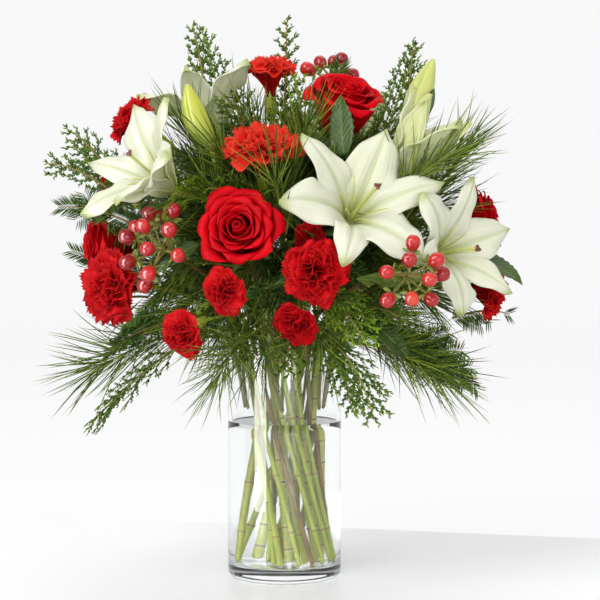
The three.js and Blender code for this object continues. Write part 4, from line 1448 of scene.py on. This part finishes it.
class BOUQUET_OT_lilies(bpy.types.Operator):
    """Builds the lilies' petals, styles and filaments, and the closed buds"""

    bl_idname = "bouquet.lilies"
    bl_label = "Lilies"

    def execute(self, context):
        size = context.scene.bouquet_lily
        for order, (name, pose) in enumerate(blooms_of("lily")):
            draw = np.random.default_rng(70 + order)
            if "bud" in name:
                self.bud(name, pose)
                continue
            shape = Shape()
            half_open = name == "lily_half_open"
            first, opened = (HALF_OPEN_ANGLE, HALF_OPEN) if half_open else (size.opening, 1.0)
            for index in range(6):
                lily_petal(shape, draw, size, pose, index, first, opened)
            shape.turned(np.array(THROAT_COLLAR) * MM, pose, 18, (0.0, 0.6, 0.5))
            piece(shape.mesh(name + "_petals"), "lily", "lily_petals", [name], size.thickness)
            if not half_open:
                self.style(name, pose, draw)
        return {"FINISHED"}

    def style(self, name, pose, draw):
        """The green style with its three-lobed stigma, and six filaments without anthers."""
        shape = Shape()
        lean = draw.uniform(-0.12, 0.12, 2)
        length = min(60 * MM, pose.radius * 0.82)
        share = np.linspace(0, 1, 16)[:, None]
        spine = np.concatenate([lean * share**2 * length, share * length + 4 * MM], axis=1)
        girth = np.interp(share[:, 0], [0, 0.25, 0.3, 0.85, 1.0], [2.6, 2.4, 1.25, 1.35, 2.0]) * MM
        shape.tube(pose.place(spine), girth, 12, share[:, None] * (0.86, 0.0, 0.0))
        tip = spine[-1]
        knob = np.linspace(0, 1, 7)[:, None]
        swell = np.sin(np.linspace(0.5, 2.7, 7)) * 1.75 * MM
        for lobe in range(3):
            out = round_about(AHEAD, ASIDE, radians(120 * lobe + 20))
            line = tip + out * 2.5 * MM * np.sin(knob * 1.5) + UP * (knob - 0.4) * 2.6 * MM
            shape.tube(pose.place(line), swell, 9, (1.0, 0.0, 0.0))
        share = np.linspace(0, 1, 12)[:, None]
        girth = np.linspace(1.0, 0.55, 12) * MM
        for filament in range(6):
            out = round_about(AHEAD, ASIDE, radians(60 * filament + 30) + draw.uniform(-0.15, 0.15))
            reach = length * draw.uniform(0.62, 0.8)
            line = out * (3 * MM + reach * 0.42 * share**1.7) + UP * (4 * MM + reach * share * 0.9)
            shape.tube(pose.place(line), girth, 8, (0.35, 0.0, 0.0))
        piece(shape.mesh(name + "_style"), "style", "lily_bud")

    def bud(self, name, pose):
        """A closed bud: three broad ribs with three seams between, tapering to a blunt tip."""
        rows, columns = 30, 48
        v = np.linspace(0, 1, rows)[:, None]
        angle = all_round(columns)[None, :]
        body = np.sin(math.pi * (0.13 + 0.84 * v) ** 0.92) ** 0.8
        rib = np.abs(np.cos(1.5 * angle))
        seam = 1 - 0.16 * (1 - rib) ** 3 * np.sin(math.pi * v) ** 0.4 + 0.03 * np.cos(6 * angle) * (1 - v)
        out = pose.radius * body * seam
        bow = pose.radius * 0.25 * np.sin(math.pi * v)
        up = v * pose.depth * np.ones_like(angle)
        grid = np.stack([out * np.cos(angle) + bow, out * np.sin(angle), up], axis=-1)
        shape = Shape()
        shape.capped(pose.place(grid), tinted(grid, v, 1 - rib, 1.0 if name == PALE_BUD else 0.1))
        piece(shape.mesh(name + "_skin"), "bud", "lily_bud", [name])


# ---- leaves
LEAF_FOLD = 0.2
LEAF_THICKNESS = 0.45 * MM


def leaf(shape, base, heading, facing, length, width, droop, teeth=0, tone=0.0):
    """A pointed leaf that lies along a heading with its upper side towards facing."""
    rows, columns = (18 if teeth else 12), 9
    v = np.linspace(0, 1, rows)[:, None]
    u = np.linspace(-1, 1, columns)[None, :]
    heading = unit(heading)
    facing = unit(facing - heading * (facing @ heading))
    side = np.cross(heading, facing)
    half = width / 2 * np.sin(math.pi * (0.05 + 0.95 * v) ** 0.85) ** 0.85
    notch = 1 + (0.07 * np.where(np.arange(rows) % 2, 1, -1)[:, None] * np.abs(u) ** 4 if teeth else 0)
    along = v * length * np.sinc(droop * v / math.pi)
    fall = -droop * v**2 * length * 0.5
    lift = fall + np.abs(u) * half * LEAF_FOLD + 0.02 * length * np.sin(v * 9) * u**2
    across = (half * u * notch)[..., None] * side
    grid = base + along[..., None] * heading + across + lift[..., None] * facing
    shape.patch(grid, tinted(grid, v, u, tone))


# Loose leaves among the blooms: place, heading, upper side, length, width, droop, whether toothed, and
# finish.
LEAVES = (
    ((52, -72, 172), (-0.12, 0.1, 1.0), (-0.5, -1.0, 0.1), 54, 24, 0.3, 1, "leaf"),
    ((48, -52, 168), (-0.7, -0.2, 0.7), (0.0, -0.9, 0.5), 40, 18, 0.5, 1, "leaf"),
    ((-70, -96, 96), (-0.8, -0.3, -0.3), (-0.2, -0.6, 0.8), 46, 20, 0.6, 0, "leaf"),
    ((76, -92, 28), (0.7, -0.3, -0.5), (0.1, -0.8, 0.6), 44, 20, 0.6, 1, "leaf"),
    ((168, -34, 84), (0.8, -0.5, -0.2), (0.2, -0.5, 0.8), 50, 26, 0.6, 1, "leaf"),
    ((-110, -72, 34), (-0.7, -0.5, -0.2), (-0.2, -0.5, 0.9), 42, 20, 0.6, 1, "leaf"),
    ((122, -12, 208), (0.45, -0.1, 1.0), (0.2, -0.9, 0.3), 30, 11, 0.4, 0, "leaf"),
    ((20, 100, 60), (0.2, 1.0, -0.2), (0.0, 0.3, 1.0), 52, 24, 0.6, 1, "leaf"),
    ((-60, 110, 96), (-0.5, 1.0, 0.1), (0.0, 0.2, 1.0), 50, 22, 0.6, 1, "leaf"),
    ((110, 80, 60), (0.8, 0.6, -0.2), (0.0, 0.3, 1.0), 48, 22, 0.6, 1, "leaf"),
    ((0, 90, 190), (0.2, 0.6, 0.7), (0.0, 0.6, 0.6), 44, 14, 0.5, 0, "young leaf"),
)
HEART_LEAVES = 90
# The middle of the bouquet above the mouth's middle, and how far it reaches each way.
HEART = (2, 0, 96)
HEART_REACH = (150, 122, 150)


class BOUQUET_OT_leaves(bpy.types.Operator):
    """Builds the loose leaves between the blooms"""

    bl_idname = "bouquet.leaves"
    bl_label = "Leaves"

    def execute(self, context):
        for kind in ("leaf", "young leaf"):
            shape = Shape()
            for place, heading, facing, length, width, droop, teeth, made_of in LEAVES:
                if made_of == kind:
                    heading, facing = np.array(heading, float), np.array(facing, float)
                    leaf(shape, above(place), heading, facing, length * MM, width * MM, droop, teeth)
            blades = shape.mesh(kind.replace(" ", "_") + "_blades")
            piece(blades, kind, "stem", thickness=LEAF_THICKNESS)
        self.heart()
        return {"FINISHED"}

    def heart(self):
        """Broad leaves round the stems' forks, which close the bouquet behind its blooms."""
        shape = Shape()
        draw = np.random.default_rng(23)
        for index in range(HEART_LEAVES):
            way = over_sphere(index, HEART_LEAVES, -0.5, 0.86)
            start = above(HEART + way * np.array(HEART_REACH) * draw.uniform(0.26, 0.5))
            facing = unit(UP + draw.normal(size=3) * 0.8)
            heading = unit(way + draw.normal(size=3) * 0.3)
            length, width = draw.uniform(44, 62) * MM, draw.uniform(17, 27) * MM
            droop, tone = draw.uniform(0.1, 0.7), draw.uniform(0, 0.4)
            leaf(shape, start, heading, facing, length, width, droop, index % 2, tone)
        piece(shape.mesh("heart_leaves"), "leaf", "stem", thickness=LEAF_THICKNESS)


# ---- berries
class BOUQUET_PG_berries(bpy.types.PropertyGroup):
    """The sprigs of berries."""

    length: metres("Length", "Length of a berry", 0.0150)
    width: metres("Width", "Width of a berry", 0.0128)
    sepal: metres("Sepal", "Length of a sepal", 0.0075)
    sepal_width: metres("Sepal Width", "Width of a sepal", 0.0036)
    stalk: metres("Stalk", "Radius of a berry's stalk", 0.0009)
    stem: metres("Stem", "Radius of a sprig's woody stem", 0.0018)


class BOUQUET_OT_berries(bpy.types.Operator):
    """Builds the berries with their sepals, stalks and woody stems"""

    bl_idname = "bouquet.berries"
    bl_label = "Berries"

    def execute(self, context):
        size = context.scene.bouquet_berries
        for order, (name, (end, heading, spread, count)) in enumerate(BERRIES.items()):
            heading = unit(np.array(heading, float))
            self.sprig(name, above(end), heading, spread * MM, count, size, 90 + order)
        return {"FINISHED"}

    def sprig(self, name, end, heading, spread, count, size, seed):
        draw = np.random.default_rng(seed)
        foot, mouth, rising = slot_of(name, size.stem)
        stem, leaves = Shape(), Shape()
        straight = np.linspace(foot, mouth, STRAIGHT_STEPS)[:-1]
        path = np.concatenate([straight, run(mouth, rising, end, heading)])
        stem_tube(stem, path, size.stem, 30 * MM, 0.2, 0.2, slant=0.7)
        fruit, sepals = Sprigs(), Sprigs()
        turn = turn_from_up(heading)
        for index in range(count):
            tilt = math.acos(1 - 0.9 * (index + 0.5) / count)
            level = round_about(AHEAD, ASIDE, index * GOLDEN_ANGLE)
            out = turn @ round_about(UP, level, tilt)
            place = end + out * spread
            start = end - heading * spread * 0.35 * (index % 3) / 2
            base = place - out * size.length * 0.46
            stalk = bezier((start, start + heading * spread * 0.3, base - out * spread * 0.35, base), 16)
            stem_tube(stem, stalk, size.stalk, 30 * MM, 0.1, 0.6, sides=8)
            side = unit(np.cross(out, draw.normal(size=3)))
            scale = draw.uniform(0.88, 1.06)
            fruit.add(base[None], out, side, scale, draw.uniform(0, 1) ** 0.8)
            cross = np.cross(out, side)
            for sepal in range(5):
                away = round_about(side, cross, radians(72 * sepal))
                aim = unit(away + out * draw.uniform(-0.25, 0.2))
                start = (base + away * 1.6 * MM)[None]
                sepals.add(start, aim, out, draw.uniform(0.85, 1.1), draw.uniform(0.3, 1.0))
        for index in range(8):
            at = path[-4 - 3 * (index // 2)]
            side = unit(np.cross(heading, [0.3, -0.8, 0.5])) * signed(index)
            onward, upper = unit(side + heading * 0.7), unit(heading - side * 0.5)
            leaf(leaves, at, onward, upper, 26 * MM * draw.uniform(0.8, 1.1), 9 * MM, 0.5)
        for sprigs in (fruit, sepals):
            sprigs.kept_inside(size.length, VISUAL_BOX)
        looks = (size.length, size.width, 1.0, 0.0, 0.52, 0.42, 14, 18)
        piece(fruit.grow(name + "_fruit", "berry", *looks), None, "berry", [name])
        looks = (size.sepal, size.sepal_width, 0.22, 0.12, 0.45, 0.5, 4, 6)
        piece(sepals.grow(name + "_sepals", "sepal scale", *looks), None, "berry")
        piece(stem.mesh(name + "_stem"), "bark", "stem")
        piece(leaves.mesh(name + "_leaves"), "young leaf", "stem", thickness=0.4 * MM)


# ---- greens
class BOUQUET_PG_greens(bpy.types.PropertyGroup):
    """The pine, fir and cedar sprigs."""

    needle: metres("Pine Needle", "Length of a pine needle", 0.066)
    needle_width: metres("Pine Needle Width", "Width of a pine needle", 0.0013)
    bundles: tally("Bundles", "Bundles of needles on a pine sprig", 38, 4)
    fir_needle: metres("Fir Needle", "Length of a fir needle", 0.017)
    fir_width: metres("Fir Needle Width", "Width of a fir needle", 0.0023)
    scale: metres("Scale", "Length of a cedar scale", 0.0056)
    scale_width: metres("Scale Width", "Width of a cedar scale", 0.0023)
    twig: metres("Twig", "Radius of a sprig's twig", 0.0015)
    fill: tally("Fill", "Sprigs that fill the bouquet between the blooms", 126, 0)


MARGIN = 8 * MM
IN_BUNDLE = 5
# From one side branch, twiglet or scale of a cedar to the next, and from one fir needle to the next.
BRANCH_GAP, TWIGLET_GAP, SCALE_GAP = 5.6 * MM, 4.6 * MM, 1.45 * MM
FIR_GAP, FIR_SIDE_GAP = 0.62 * MM, 0.8 * MM
# Where a sprig's leaves start and stop along its twig, in shares of the stretch that the frame clothes.
NEEDLES_FROM = {"pine": 1.55, "cedar": 1.15, "fir": 1.2}
NEEDLES_TO = {"pine": 0.45, "cedar": 0.02, "fir": 0.1}
VISUAL_BOX = (np.array(CAD_BOX[0]) - MARGIN, np.array(CAD_BOX[1]) + MARGIN)


BLOOM_POSES = dict(blooms_of(""))


def upper_twig(name):
    """The route of a green's twig above the mouth, and all of it from its foot."""
    bend, tip, share, side = GREENS[name]
    foot, mouth, rising = slot_of(name, TWIG_RADIUS)
    bend, tip = above(bend), above(tip)
    pull = np.linalg.norm(mouth - bend) * 0.4
    upper = bezier((mouth, mouth + rising * pull, bend, tip), 60)
    whole = np.concatenate([np.linspace(foot, mouth, STRAIGHT_STEPS)[:-1], upper])
    return upper, whole, share, unit(np.array(side, float))


def needle_bundles(sprigs, draw, path, first, last, bundles, wide):
    """Bundles of five long needles set round a twig, fanning forward."""
    place, way = part_of(path, first, last, bundles)
    side, across = square_to(place)
    for index in range(bundles):
        out = round_about(side[index], across[index], index * GOLDEN_ANGLE + draw.uniform(-0.3, 0.3))
        share = index / (bundles - 1)
        lean = mix(1.0, 0.3, share**2) * wide
        heading = unit(way[index] + out * lean + UP * 0.25)
        aim = unit(heading + draw.normal(size=(IN_BUNDLE, 3)) * 0.17)
        spin = draw.normal(size=(IN_BUNDLE, 3))
        size = draw.uniform(0.62, 1.08, IN_BUNDLE) * mix(0.9, 1.0, share)
        start = np.repeat(place[index][None], IN_BUNDLE, axis=0)
        sprigs.add(start, aim, spin, size, draw.uniform(0.1, 1.0, IN_BUNDLE))


def ranked_needles(sprigs, draw, path, first, last, count, side):
    """Short flat needles in two ranks, with a few above."""
    place, way = part_of(path, first, last, count)
    across = unit(side - way * (way @ side)[:, None])
    normal = np.cross(way, across)
    for index in range(count):
        lean = draw.uniform(-0.25, 0.4)
        share = index / (count - 1)
        onward = way[index] * mix(0.55, 1.1, share**3)
        aim = unit(across[index] * signed(index) + onward + normal[index] * lean)
        size = draw.uniform(0.75, 1.05) * mix(1.0, 0.7, share**4)
        sprigs.add(place[index][None], aim, normal[index], size, draw.uniform(0, 1))


def scaled_spray(sprigs, draw, path, first, last, side, reach):
    """A flat ferny spray: side branches to each side in turn, the longer ones branching again."""
    count = max(4, int(reaches(path)[-1] * (last - first) / BRANCH_GAP))
    place, way = part_of(path, first, last, count)
    feathered(sprigs, draw, place, side, 1.0)
    for index in range(count):
        share = index / (count - 1)
        across = unit(side - way[index] * (way[index] @ side)) * signed(index)
        normal = np.cross(way[index], across)
        own = reach * (math.sin(math.pi * (0.25 + 0.7 * share)) ** 0.9) * draw.uniform(0.65, 1.1)
        heading = unit(across + way[index] * 1.15 + normal * draw.uniform(-0.25, 0.25))
        start, onward = place[index], way[index]
        end = start + heading * own + onward * own * 0.3 - UP * own * 0.1
        branch = bezier((start, start + heading * own * 0.4, end - onward * own * 0.3, end), 12)
        feathered(sprigs, draw, branch, side, 0.95)
        again = int(own / TWIGLET_GAP)
        if again < 2:
            continue
        at, onward = part_of(branch, 0.2, 0.82, again)
        for order in range(again):
            beside = unit(np.cross(normal, onward[order])) * signed(order)
            small = own * 0.46 * (1 - 0.55 * order / again) * draw.uniform(0.7, 1.15)
            aim = unit(beside + onward[order] * 1.3 + normal * draw.uniform(-0.25, 0.25))
            feathered(sprigs, draw, np.linspace(at[order], at[order] + aim * small, 4), side, 0.8)


def feathered(sprigs, draw, path, side, size):
    """Pointed scales along a branchlet, to each side in turn, with a rib of scales down its middle."""
    count = max(3, int(reaches(path)[-1] / (SCALE_GAP * size)))
    place, way = part_of(path, 0.0, 1.0, count)
    across = unit(side - way * (way @ side)[:, None] + 1e-9)
    turn = np.arange(count) % 3
    flip = np.choose(turn, (1.0, -1.0, 0.0))[:, None]
    normal = np.cross(way, across)
    aim = unit(way + across * flip * 0.36)
    share = np.linspace(0, 1, count)
    shade = np.clip(draw.uniform(0, 0.4, count) + share * 0.5, 0, 1)
    sprigs.add(place, aim, normal, size * mix(1.0, 0.62, share) * np.where(turn == 2, 0.85, 1.0), shade)


# Side sprigs that show between and beside the blooms: kind, start, end, side, and how wide they spread.
FILLERS = (
    ("pine", (2, -100, 104), (6, -112, 122), (1, 0, 0), 1.3),
    ("pine", (-62, -20, 150), (-84, -44, 190), (1, 0, 0), 0.8),
    ("pine", (-118, -50, 50), (-150, -58, 44), (0, 0, 1), 0.9),
    ("pine", (-16, -70, 14), (-16, -96, 6), (1, 0, 0), 1.0),
    ("pine", (96, -70, 100), (112, -92, 128), (1, 0, 0), 0.8),
    ("pine", (60, -60, 10), (110, -100, -8), (1, 0, 0), 0.9),
    ("cedar", (0, 50, 200), (2, 56, 306), (1, 0.1, 0), 17),
    ("cedar", (-72, 60, 220), (-86, 60, 300), (1, 0.1, 0), 20),
    ("cedar", (112, 38, 200), (118, 36, 280), (1, -0.1, 0.2), 13),
    ("cedar", (-150, 0, 140), (-212, -10, 168), (0.2, -0.4, 1), 22),
    ("cedar", (-150, 10, 150), (-196, 0, 200), (0.2, -0.4, 1), 18),
    ("cedar", (-30, -30, 180), (-46, -64, 226), (1, 0.2, 0), 24),
    ("cedar", (-30, -70, 128), (-62, -112, 142), (0.6, 0.2, 0.8), 24),
    ("cedar", (30, -70, 50), (58, -134, 44), (1, 0.2, 0), 26),
    ("cedar", (46, -60, 40), (104, -122, 30), (1, 0.2, 0.2), 26),
    ("cedar", (40, -56, 10), (58, -110, -44), (1, 0.2, 0), 22),
    ("fir", (-110, -30, 100), (-196, -52, 128), (0.2, -0.3, 0.9), 1),
    ("fir", (-92, -60, 30), (-150, -96, 2), (0.4, -0.4, 0.7), 1),
    ("fir", (-20, -70, 40), (-8, -118, 62), (0.9, -0.2, 0.3), 1),
    ("fir", (100, -60, 10), (152, -96, -24), (0.9, -0.3, 0.4), 1),
    ("fir", (150, -10, 30), (200, -20, 34), (0.1, -0.4, 0.9), 1),
    ("fir", (40, 40, 200), (52, 30, 262), (1, 0.1, 0), 1),
    ("pine", (-12, -64, 46), (-24, -92, 14), (1, 0, 0), 0.9),
    ("pine", (26, -64, 42), (30, -92, 12), (1, 0, 0), 0.9),
    ("pine", (-40, -60, 56), (-66, -88, 30), (1, 0, 0), 0.9),
    ("cedar", (4, -62, 50), (4, -98, -14), (1, 0.2, 0), 22),
    ("cedar", (34, -66, 54), (42, -104, -8), (1, 0.2, 0.1), 24),
    ("cedar", (-26, -62, 50), (-34, -94, 0), (1, 0.2, 0), 22),
    ("fir", (60, -62, 44), (88, -92, 14), (0.9, -0.3, 0.4), 1),
    ("fir", (-52, -62, 44), (-84, -92, 12), (0.9, 0.3, 0.4), 1),
    ("fir", (8, -60, 70), (14, -100, 40), (0.9, -0.2, 0.2), 1),
    ("young cedar", (30, -72, 58), (68, -128, 14), (1, 0.2, 0.4), 28),
    ("young cedar", (-62, -72, 146), (-98, -120, 124), (0.5, -0.2, 1), 22),
    ("young cedar", (2, -16, 190), (26, -48, 238), (1, -0.3, 0.2), 24),
    ("young cedar", (-40, -76, 60), (-70, -122, 40), (0.8, 0.2, 0.5), 20),
)
# Pine sprigs whose needles lie over some blooms, each with the blooms that they lie over.
OVERLAYS = (
    (("pine", (-4, -104, 132), (-6, -118, 148), (1, 0, 0), 1.5), ("carnation_5",)),
    (("pine", (98, -72, 138), (138, -88, 168), (1, 0, 0), 0.8), ("lily_half_open", "lily_1", "lily_3")),
)
# The most needles or scales of a kind on the sprigs that fill the bouquet.
FILL_MOST = 9800
FILL_KINDS = ("pine", "fir", "cedar", "fir", "cedar", "pine", "cedar")
# How wide a sprig spreads: a pine's as a share, a cedar's in millimetres.
FILL_SPREAD = {"pine": 0.9, "fir": 1, "cedar": 28}


def filling(count):
    """Sprigs that point out of the bouquet's heart all round, short of its blooms, as FILLERS gives them."""
    draw = np.random.default_rng(11)
    for index in range(count):
        way = over_sphere(index, count, -0.62, 0.9)
        reach = np.array(HEART_REACH) * draw.uniform(0.78, 0.98)
        start, end = HEART + way * reach * 0.34, HEART + way * reach
        side = np.cross(way, draw.normal(size=3))
        kind = FILL_KINDS[index % len(FILL_KINDS)]
        yield kind, start, end, side, FILL_SPREAD[kind]


class BOUQUET_OT_greens(bpy.types.Operator):
    """Builds the pine, fir and cedar sprigs on their twigs"""

    bl_idname = "bouquet.greens"
    bl_label = "Greens"

    def execute(self, context):
        size = context.scene.bouquet_greens
        for order, name in enumerate(GREENS):
            draw = np.random.default_rng(200 + order)
            upper, whole, share, side = upper_twig(name)
            kind = name.split("_")[0]
            first, last = 1 - share * NEEDLES_FROM[kind], 1 - share * NEEDLES_TO[kind]
            end = len(whole) - int((1 - last) * len(upper))
            twig = Shape()
            stem_tube(twig, whole[:end], size.twig, 30 * MM, 0.14, 0.7, slant=0.6, sides=10, taper=0.7)
            piece(twig.mesh(name + "_twig"), "bark", "stem")
            spread = {"pine": 0.85, "fir": 1, "cedar": 30}[kind]
            self.clothe(kind, name + "_leaves", [(upper, first, last, side, spread)], draw, size, [name])
        for kind in ("pine", "cedar", "fir"):
            self.loose(kind, kind + "_side", FILLERS, size, 300 + len(kind))
            self.loose(kind, kind + "_fill", filling(size.fill), size, 400 + len(kind), most=FILL_MOST)
        self.loose("young cedar", "young_cedar", FILLERS, size, 311)
        for order, (sprig, spared) in enumerate(OVERLAYS):
            self.loose("pine", f"pine_over_{order}", (sprig,), size, 500 + order, spared)
        return {"FINISHED"}

    def loose(self, kind, name, sprays, size, seed, spared=(), most=None):
        """The sprigs of one kind that stand for themselves, on short twigs of their own."""
        draw = np.random.default_rng(seed)
        paths, twigs = [], Shape()
        for made_of, start, end, side, reach in sprays:
            if made_of == kind:
                start, end = above(start), above(end)
                sag = UP * np.linalg.norm(end - start) * 0.12
                path = bezier((start, mix(start, end, 0.4) + sag, mix(start, end, 0.7) + sag, end), 24)
                paths.append((path, 0.0, 0.99, unit(np.array(side, float)), reach))
                stem_tube(twigs, path, 1.1 * MM, 20 * MM, 0.1, 0.5, sides=8, taper=0.65)
        piece(twigs.mesh(name + "_twigs"), "bark", "stem")
        self.clothe(kind, name + "_leaves", paths, draw, size, [], spared, most)

    def fir(self, sprigs, draw, path, first, last, side):
        """A fir sprig: its own needles, and three side branches of them to each side."""
        length = reaches(path)[-1] * (last - first)
        ranked_needles(sprigs, draw, path, first, last, int(length / FIR_GAP), side)
        for flip in (-1, 1):
            for at in (0.2, 0.45, 0.68):
                base, way = part_of(path, mix(first, last, at), last, 2)
                across = unit(side - way[0] * (way[0] @ side)) * flip
                arm = length * 0.42 * (1.1 - at)
                end = base[0] + unit(across + way[0] * 0.9) * arm
                branch = np.linspace(base[0], end, 8)
                ranked_needles(sprigs, draw, branch, 0.05, 1.0, max(6, int(arm / FIR_SIDE_GAP)), side)

    def clothe(self, kind, name, paths, draw, size, nodes, spared=(), most=None):
        """Sets the leaves of one kind of green along paths, each with the stretch that carries them."""
        sprigs = Sprigs()
        green = kind.split()[-1]
        for path, first, last, side, reach in paths:
            if green == "pine":
                length = reaches(path)[-1] * (last - first)
                bundles = max(9, int(size.bundles * min(1.0, length / (100 * MM))))
                needle_bundles(sprigs, draw, path, first, last, bundles, reach)
            elif green == "fir":
                self.fir(sprigs, draw, path, first, last, side)
            else:
                scaled_spray(sprigs, draw, path, first, last, side, reach * MM)
        # Length, width, flatness, curl, fullness at the base and at the tip, segments and sides.
        length, *looks, segments, sides = {
            "pine": (size.needle, size.needle_width, 0.8, 0.12, 0.1, 0.35, 4, 3),
            "fir": (size.fir_needle, size.fir_width, 0.6, 0.06, 0.12, 0.3, 3, 4),
            "cedar": (size.scale, size.scale_width, 0.55, 0.0, 0.2, 0.5, 3, 4),
        }[green]
        if most:
            sprigs.thinned(most)
            segments, sides = 3, 3
        sprigs.kept_inside(length, VISUAL_BOX)
        poses = [pose for bloom, pose in BLOOM_POSES.items() if bloom not in spared]
        sprigs.kept_clear(length, poses)
        mesh = sprigs.grow(name, kind, length, *looks, segments, sides)
        piece(mesh, None, green + "_foliage", nodes)


# ---- stage
class BOUQUET_PG_stage(bpy.types.PropertyGroup):
    """The table, the backdrop, the lights and the camera."""

    distance: metres("Camera Distance", "From the camera to the vase's axis, measured level", 1.5)
    eye_height: metres("Eye Height", "Height of the camera above the table", 0.294)
    aim_right: metres("Aim Right", "How far to the right of the vase's axis the camera looks", 0.014)
    aim_height: metres("Aim Height", "Height that the camera looks at", 0.249)
    lens: ratio("Lens", "Focal length in millimetres", 100.0)
    table_back: metres("Table Back", "From the vase's axis to the table's back edge", 0.27)
    table_turn: ratio("Table Turn", "How far the back edge goes back for each metre to the right", -0.25)
    key: watts("Key Light", "Power of the large soft light", 38.0)
    front: watts("Front Light", "Power of the low light in front", 14.0)
    strip: watts("Strip Light", "Power of the tall narrow light that the vase reflects", 5.0)
    fill: watts("Fill Light", "Power of the fill light", 6.0)


TABLE_REACH = 3.0
ROOM_HALF, ROOM_HEIGHT, WALL_BACK = 6.0, 8.0, 5.9


class BOUQUET_OT_stage(bpy.types.Operator):
    """Builds the table top, the backdrop, the lights and the camera"""

    bl_idname = "bouquet.stage"
    bl_label = "Stage"

    def execute(self, context):
        stage = context.scene.bouquet_stage
        self.camera(context, stage)
        reach, back, turned = TABLE_REACH, stage.table_back, stage.table_turn * TABLE_REACH
        front_edge = [(-reach, -reach, 0), (reach, -reach, 0)]
        back_edge = [(reach, back + turned, 0), (-reach, back - turned, 0)]
        self.surface("table_top", front_edge + back_edge, "table")
        half, low, top, back = ROOM_HALF, -0.4 * MM, ROOM_HEIGHT, WALL_BACK
        ground = [(-half, -half, low), (half, -half, low), (half, half, low), (-half, half, low)]
        wall = [(-half, back, low), (half, back, low), (half, back, top), (-half, back, top)]
        self.surface("studio_floor", ground, "backdrop")
        self.surface("backdrop", wall, "backdrop")
        self.light("key", (-1.1, -1.5, 1.7), (0, 0, 0.3), 1.3, stage.key)
        self.light("fill", (1.6, -1.2, 0.9), (0, 0, 0.25), 1.2, stage.fill)
        self.light("front", (0.5, -2.3, 0.45), (0, 0, 0.2), 1.0, stage.front)
        self.light("top", (0.2, 0.5, 1.9), (0, 0, 0.3), 1.4, stage.fill * 1.6)
        strip = self.light("strip", (-0.33, -0.31, 0.3), (0, 0, 0.3), 0.2, stage.strip)
        strip.data.shape = "RECTANGLE"
        strip.data.size_y = 0.6
        strip.visible_camera = strip.visible_diffuse = strip.visible_transmission = False
        world = bpy.data.worlds.new("studio")
        world.use_nodes = True
        background = world.node_tree.nodes["Background"]
        background.inputs["Color"].default_value = (0.98, 0.99, 1.0, 1)
        background.inputs["Strength"].default_value = 0.56
        context.scene.world = world
        context.scene.view_settings.view_transform = "Standard"
        return {"FINISHED"}

    def camera(self, context, stage):
        data = bpy.data.cameras.new("camera")
        data.lens = stage.lens
        data.sensor_width = 36.0
        camera = linked("camera", data)
        eye = Vector((stage.aim_right, -stage.distance, stage.eye_height))
        target = Vector((stage.aim_right, 0.0, stage.aim_height))
        camera.location = eye
        camera.rotation_euler = (target - eye).to_track_quat("-Z", "Y").to_euler()
        context.scene.camera = camera

    def surface(self, name, corners_at, material):
        mesh = bpy.data.meshes.new(name)
        mesh.from_pydata(corners_at, [], [(0, 1, 2, 3)])
        mesh.materials.append(finish(material))
        linked(name, mesh)

    def light(self, name, place, target, size, power):
        data = bpy.data.lights.new(name, "AREA")
        data.size = size
        data.energy = power
        made = linked(name, data)
        made.location = place
        made.rotation_euler = (Vector(target) - Vector(place)).to_track_quat("-Z", "Y").to_euler()
        return made


# ---- the add-on
STEPS = ("stage", "vase", "water", "stems", "carnations", "roses", "lilies", "berries", "greens", "leaves")
SETTINGS = (
    ("bouquet_stage", BOUQUET_PG_stage), ("bouquet_vase", BOUQUET_PG_vase),
    ("bouquet_stems", BOUQUET_PG_stems),
    ("bouquet_carnation", BOUQUET_PG_carnation), ("bouquet_rose", BOUQUET_PG_rose),
    ("bouquet_lily", BOUQUET_PG_lily), ("bouquet_berries", BOUQUET_PG_berries),
    ("bouquet_greens", BOUQUET_PG_greens),
)


class BOUQUET_PT_panel(bpy.types.Panel):
    """Lists the bouquet's steps and sizes"""

    bl_idname = "BOUQUET_PT_panel"
    bl_label = "Winter Bouquet"
    bl_space_type = "VIEW_3D"
    bl_region_type = "UI"
    bl_category = "Bouquet"

    def draw(self, context):
        for step in STEPS:
            self.layout.operator("bouquet." + step)
        for name, group in SETTINGS:
            box = self.layout.box()
            for field in group.__annotations__:
                box.prop(getattr(context.scene, name), field)


CLASSES = (
    *(group for name, group in SETTINGS),
    BOUQUET_OT_stage, BOUQUET_OT_vase, BOUQUET_OT_water, BOUQUET_OT_stems, BOUQUET_OT_carnations,
    BOUQUET_OT_roses, BOUQUET_OT_lilies, BOUQUET_OT_berries, BOUQUET_OT_greens, BOUQUET_OT_leaves,
    BOUQUET_PT_panel,
)


def register():
    for cls in CLASSES:
        bpy.utils.register_class(cls)
    for name, group in SETTINGS:
        setattr(bpy.types.Scene, name, PointerProperty(type=group))


def unregister():
    for name, group in SETTINGS:
        delattr(bpy.types.Scene, name)
    for cls in reversed(CLASSES):
        bpy.utils.unregister_class(cls)


def main():
    register()
    for step in STEPS:
        getattr(bpy.ops.bouquet, step)()


if __name__ == "__main__":
    main()
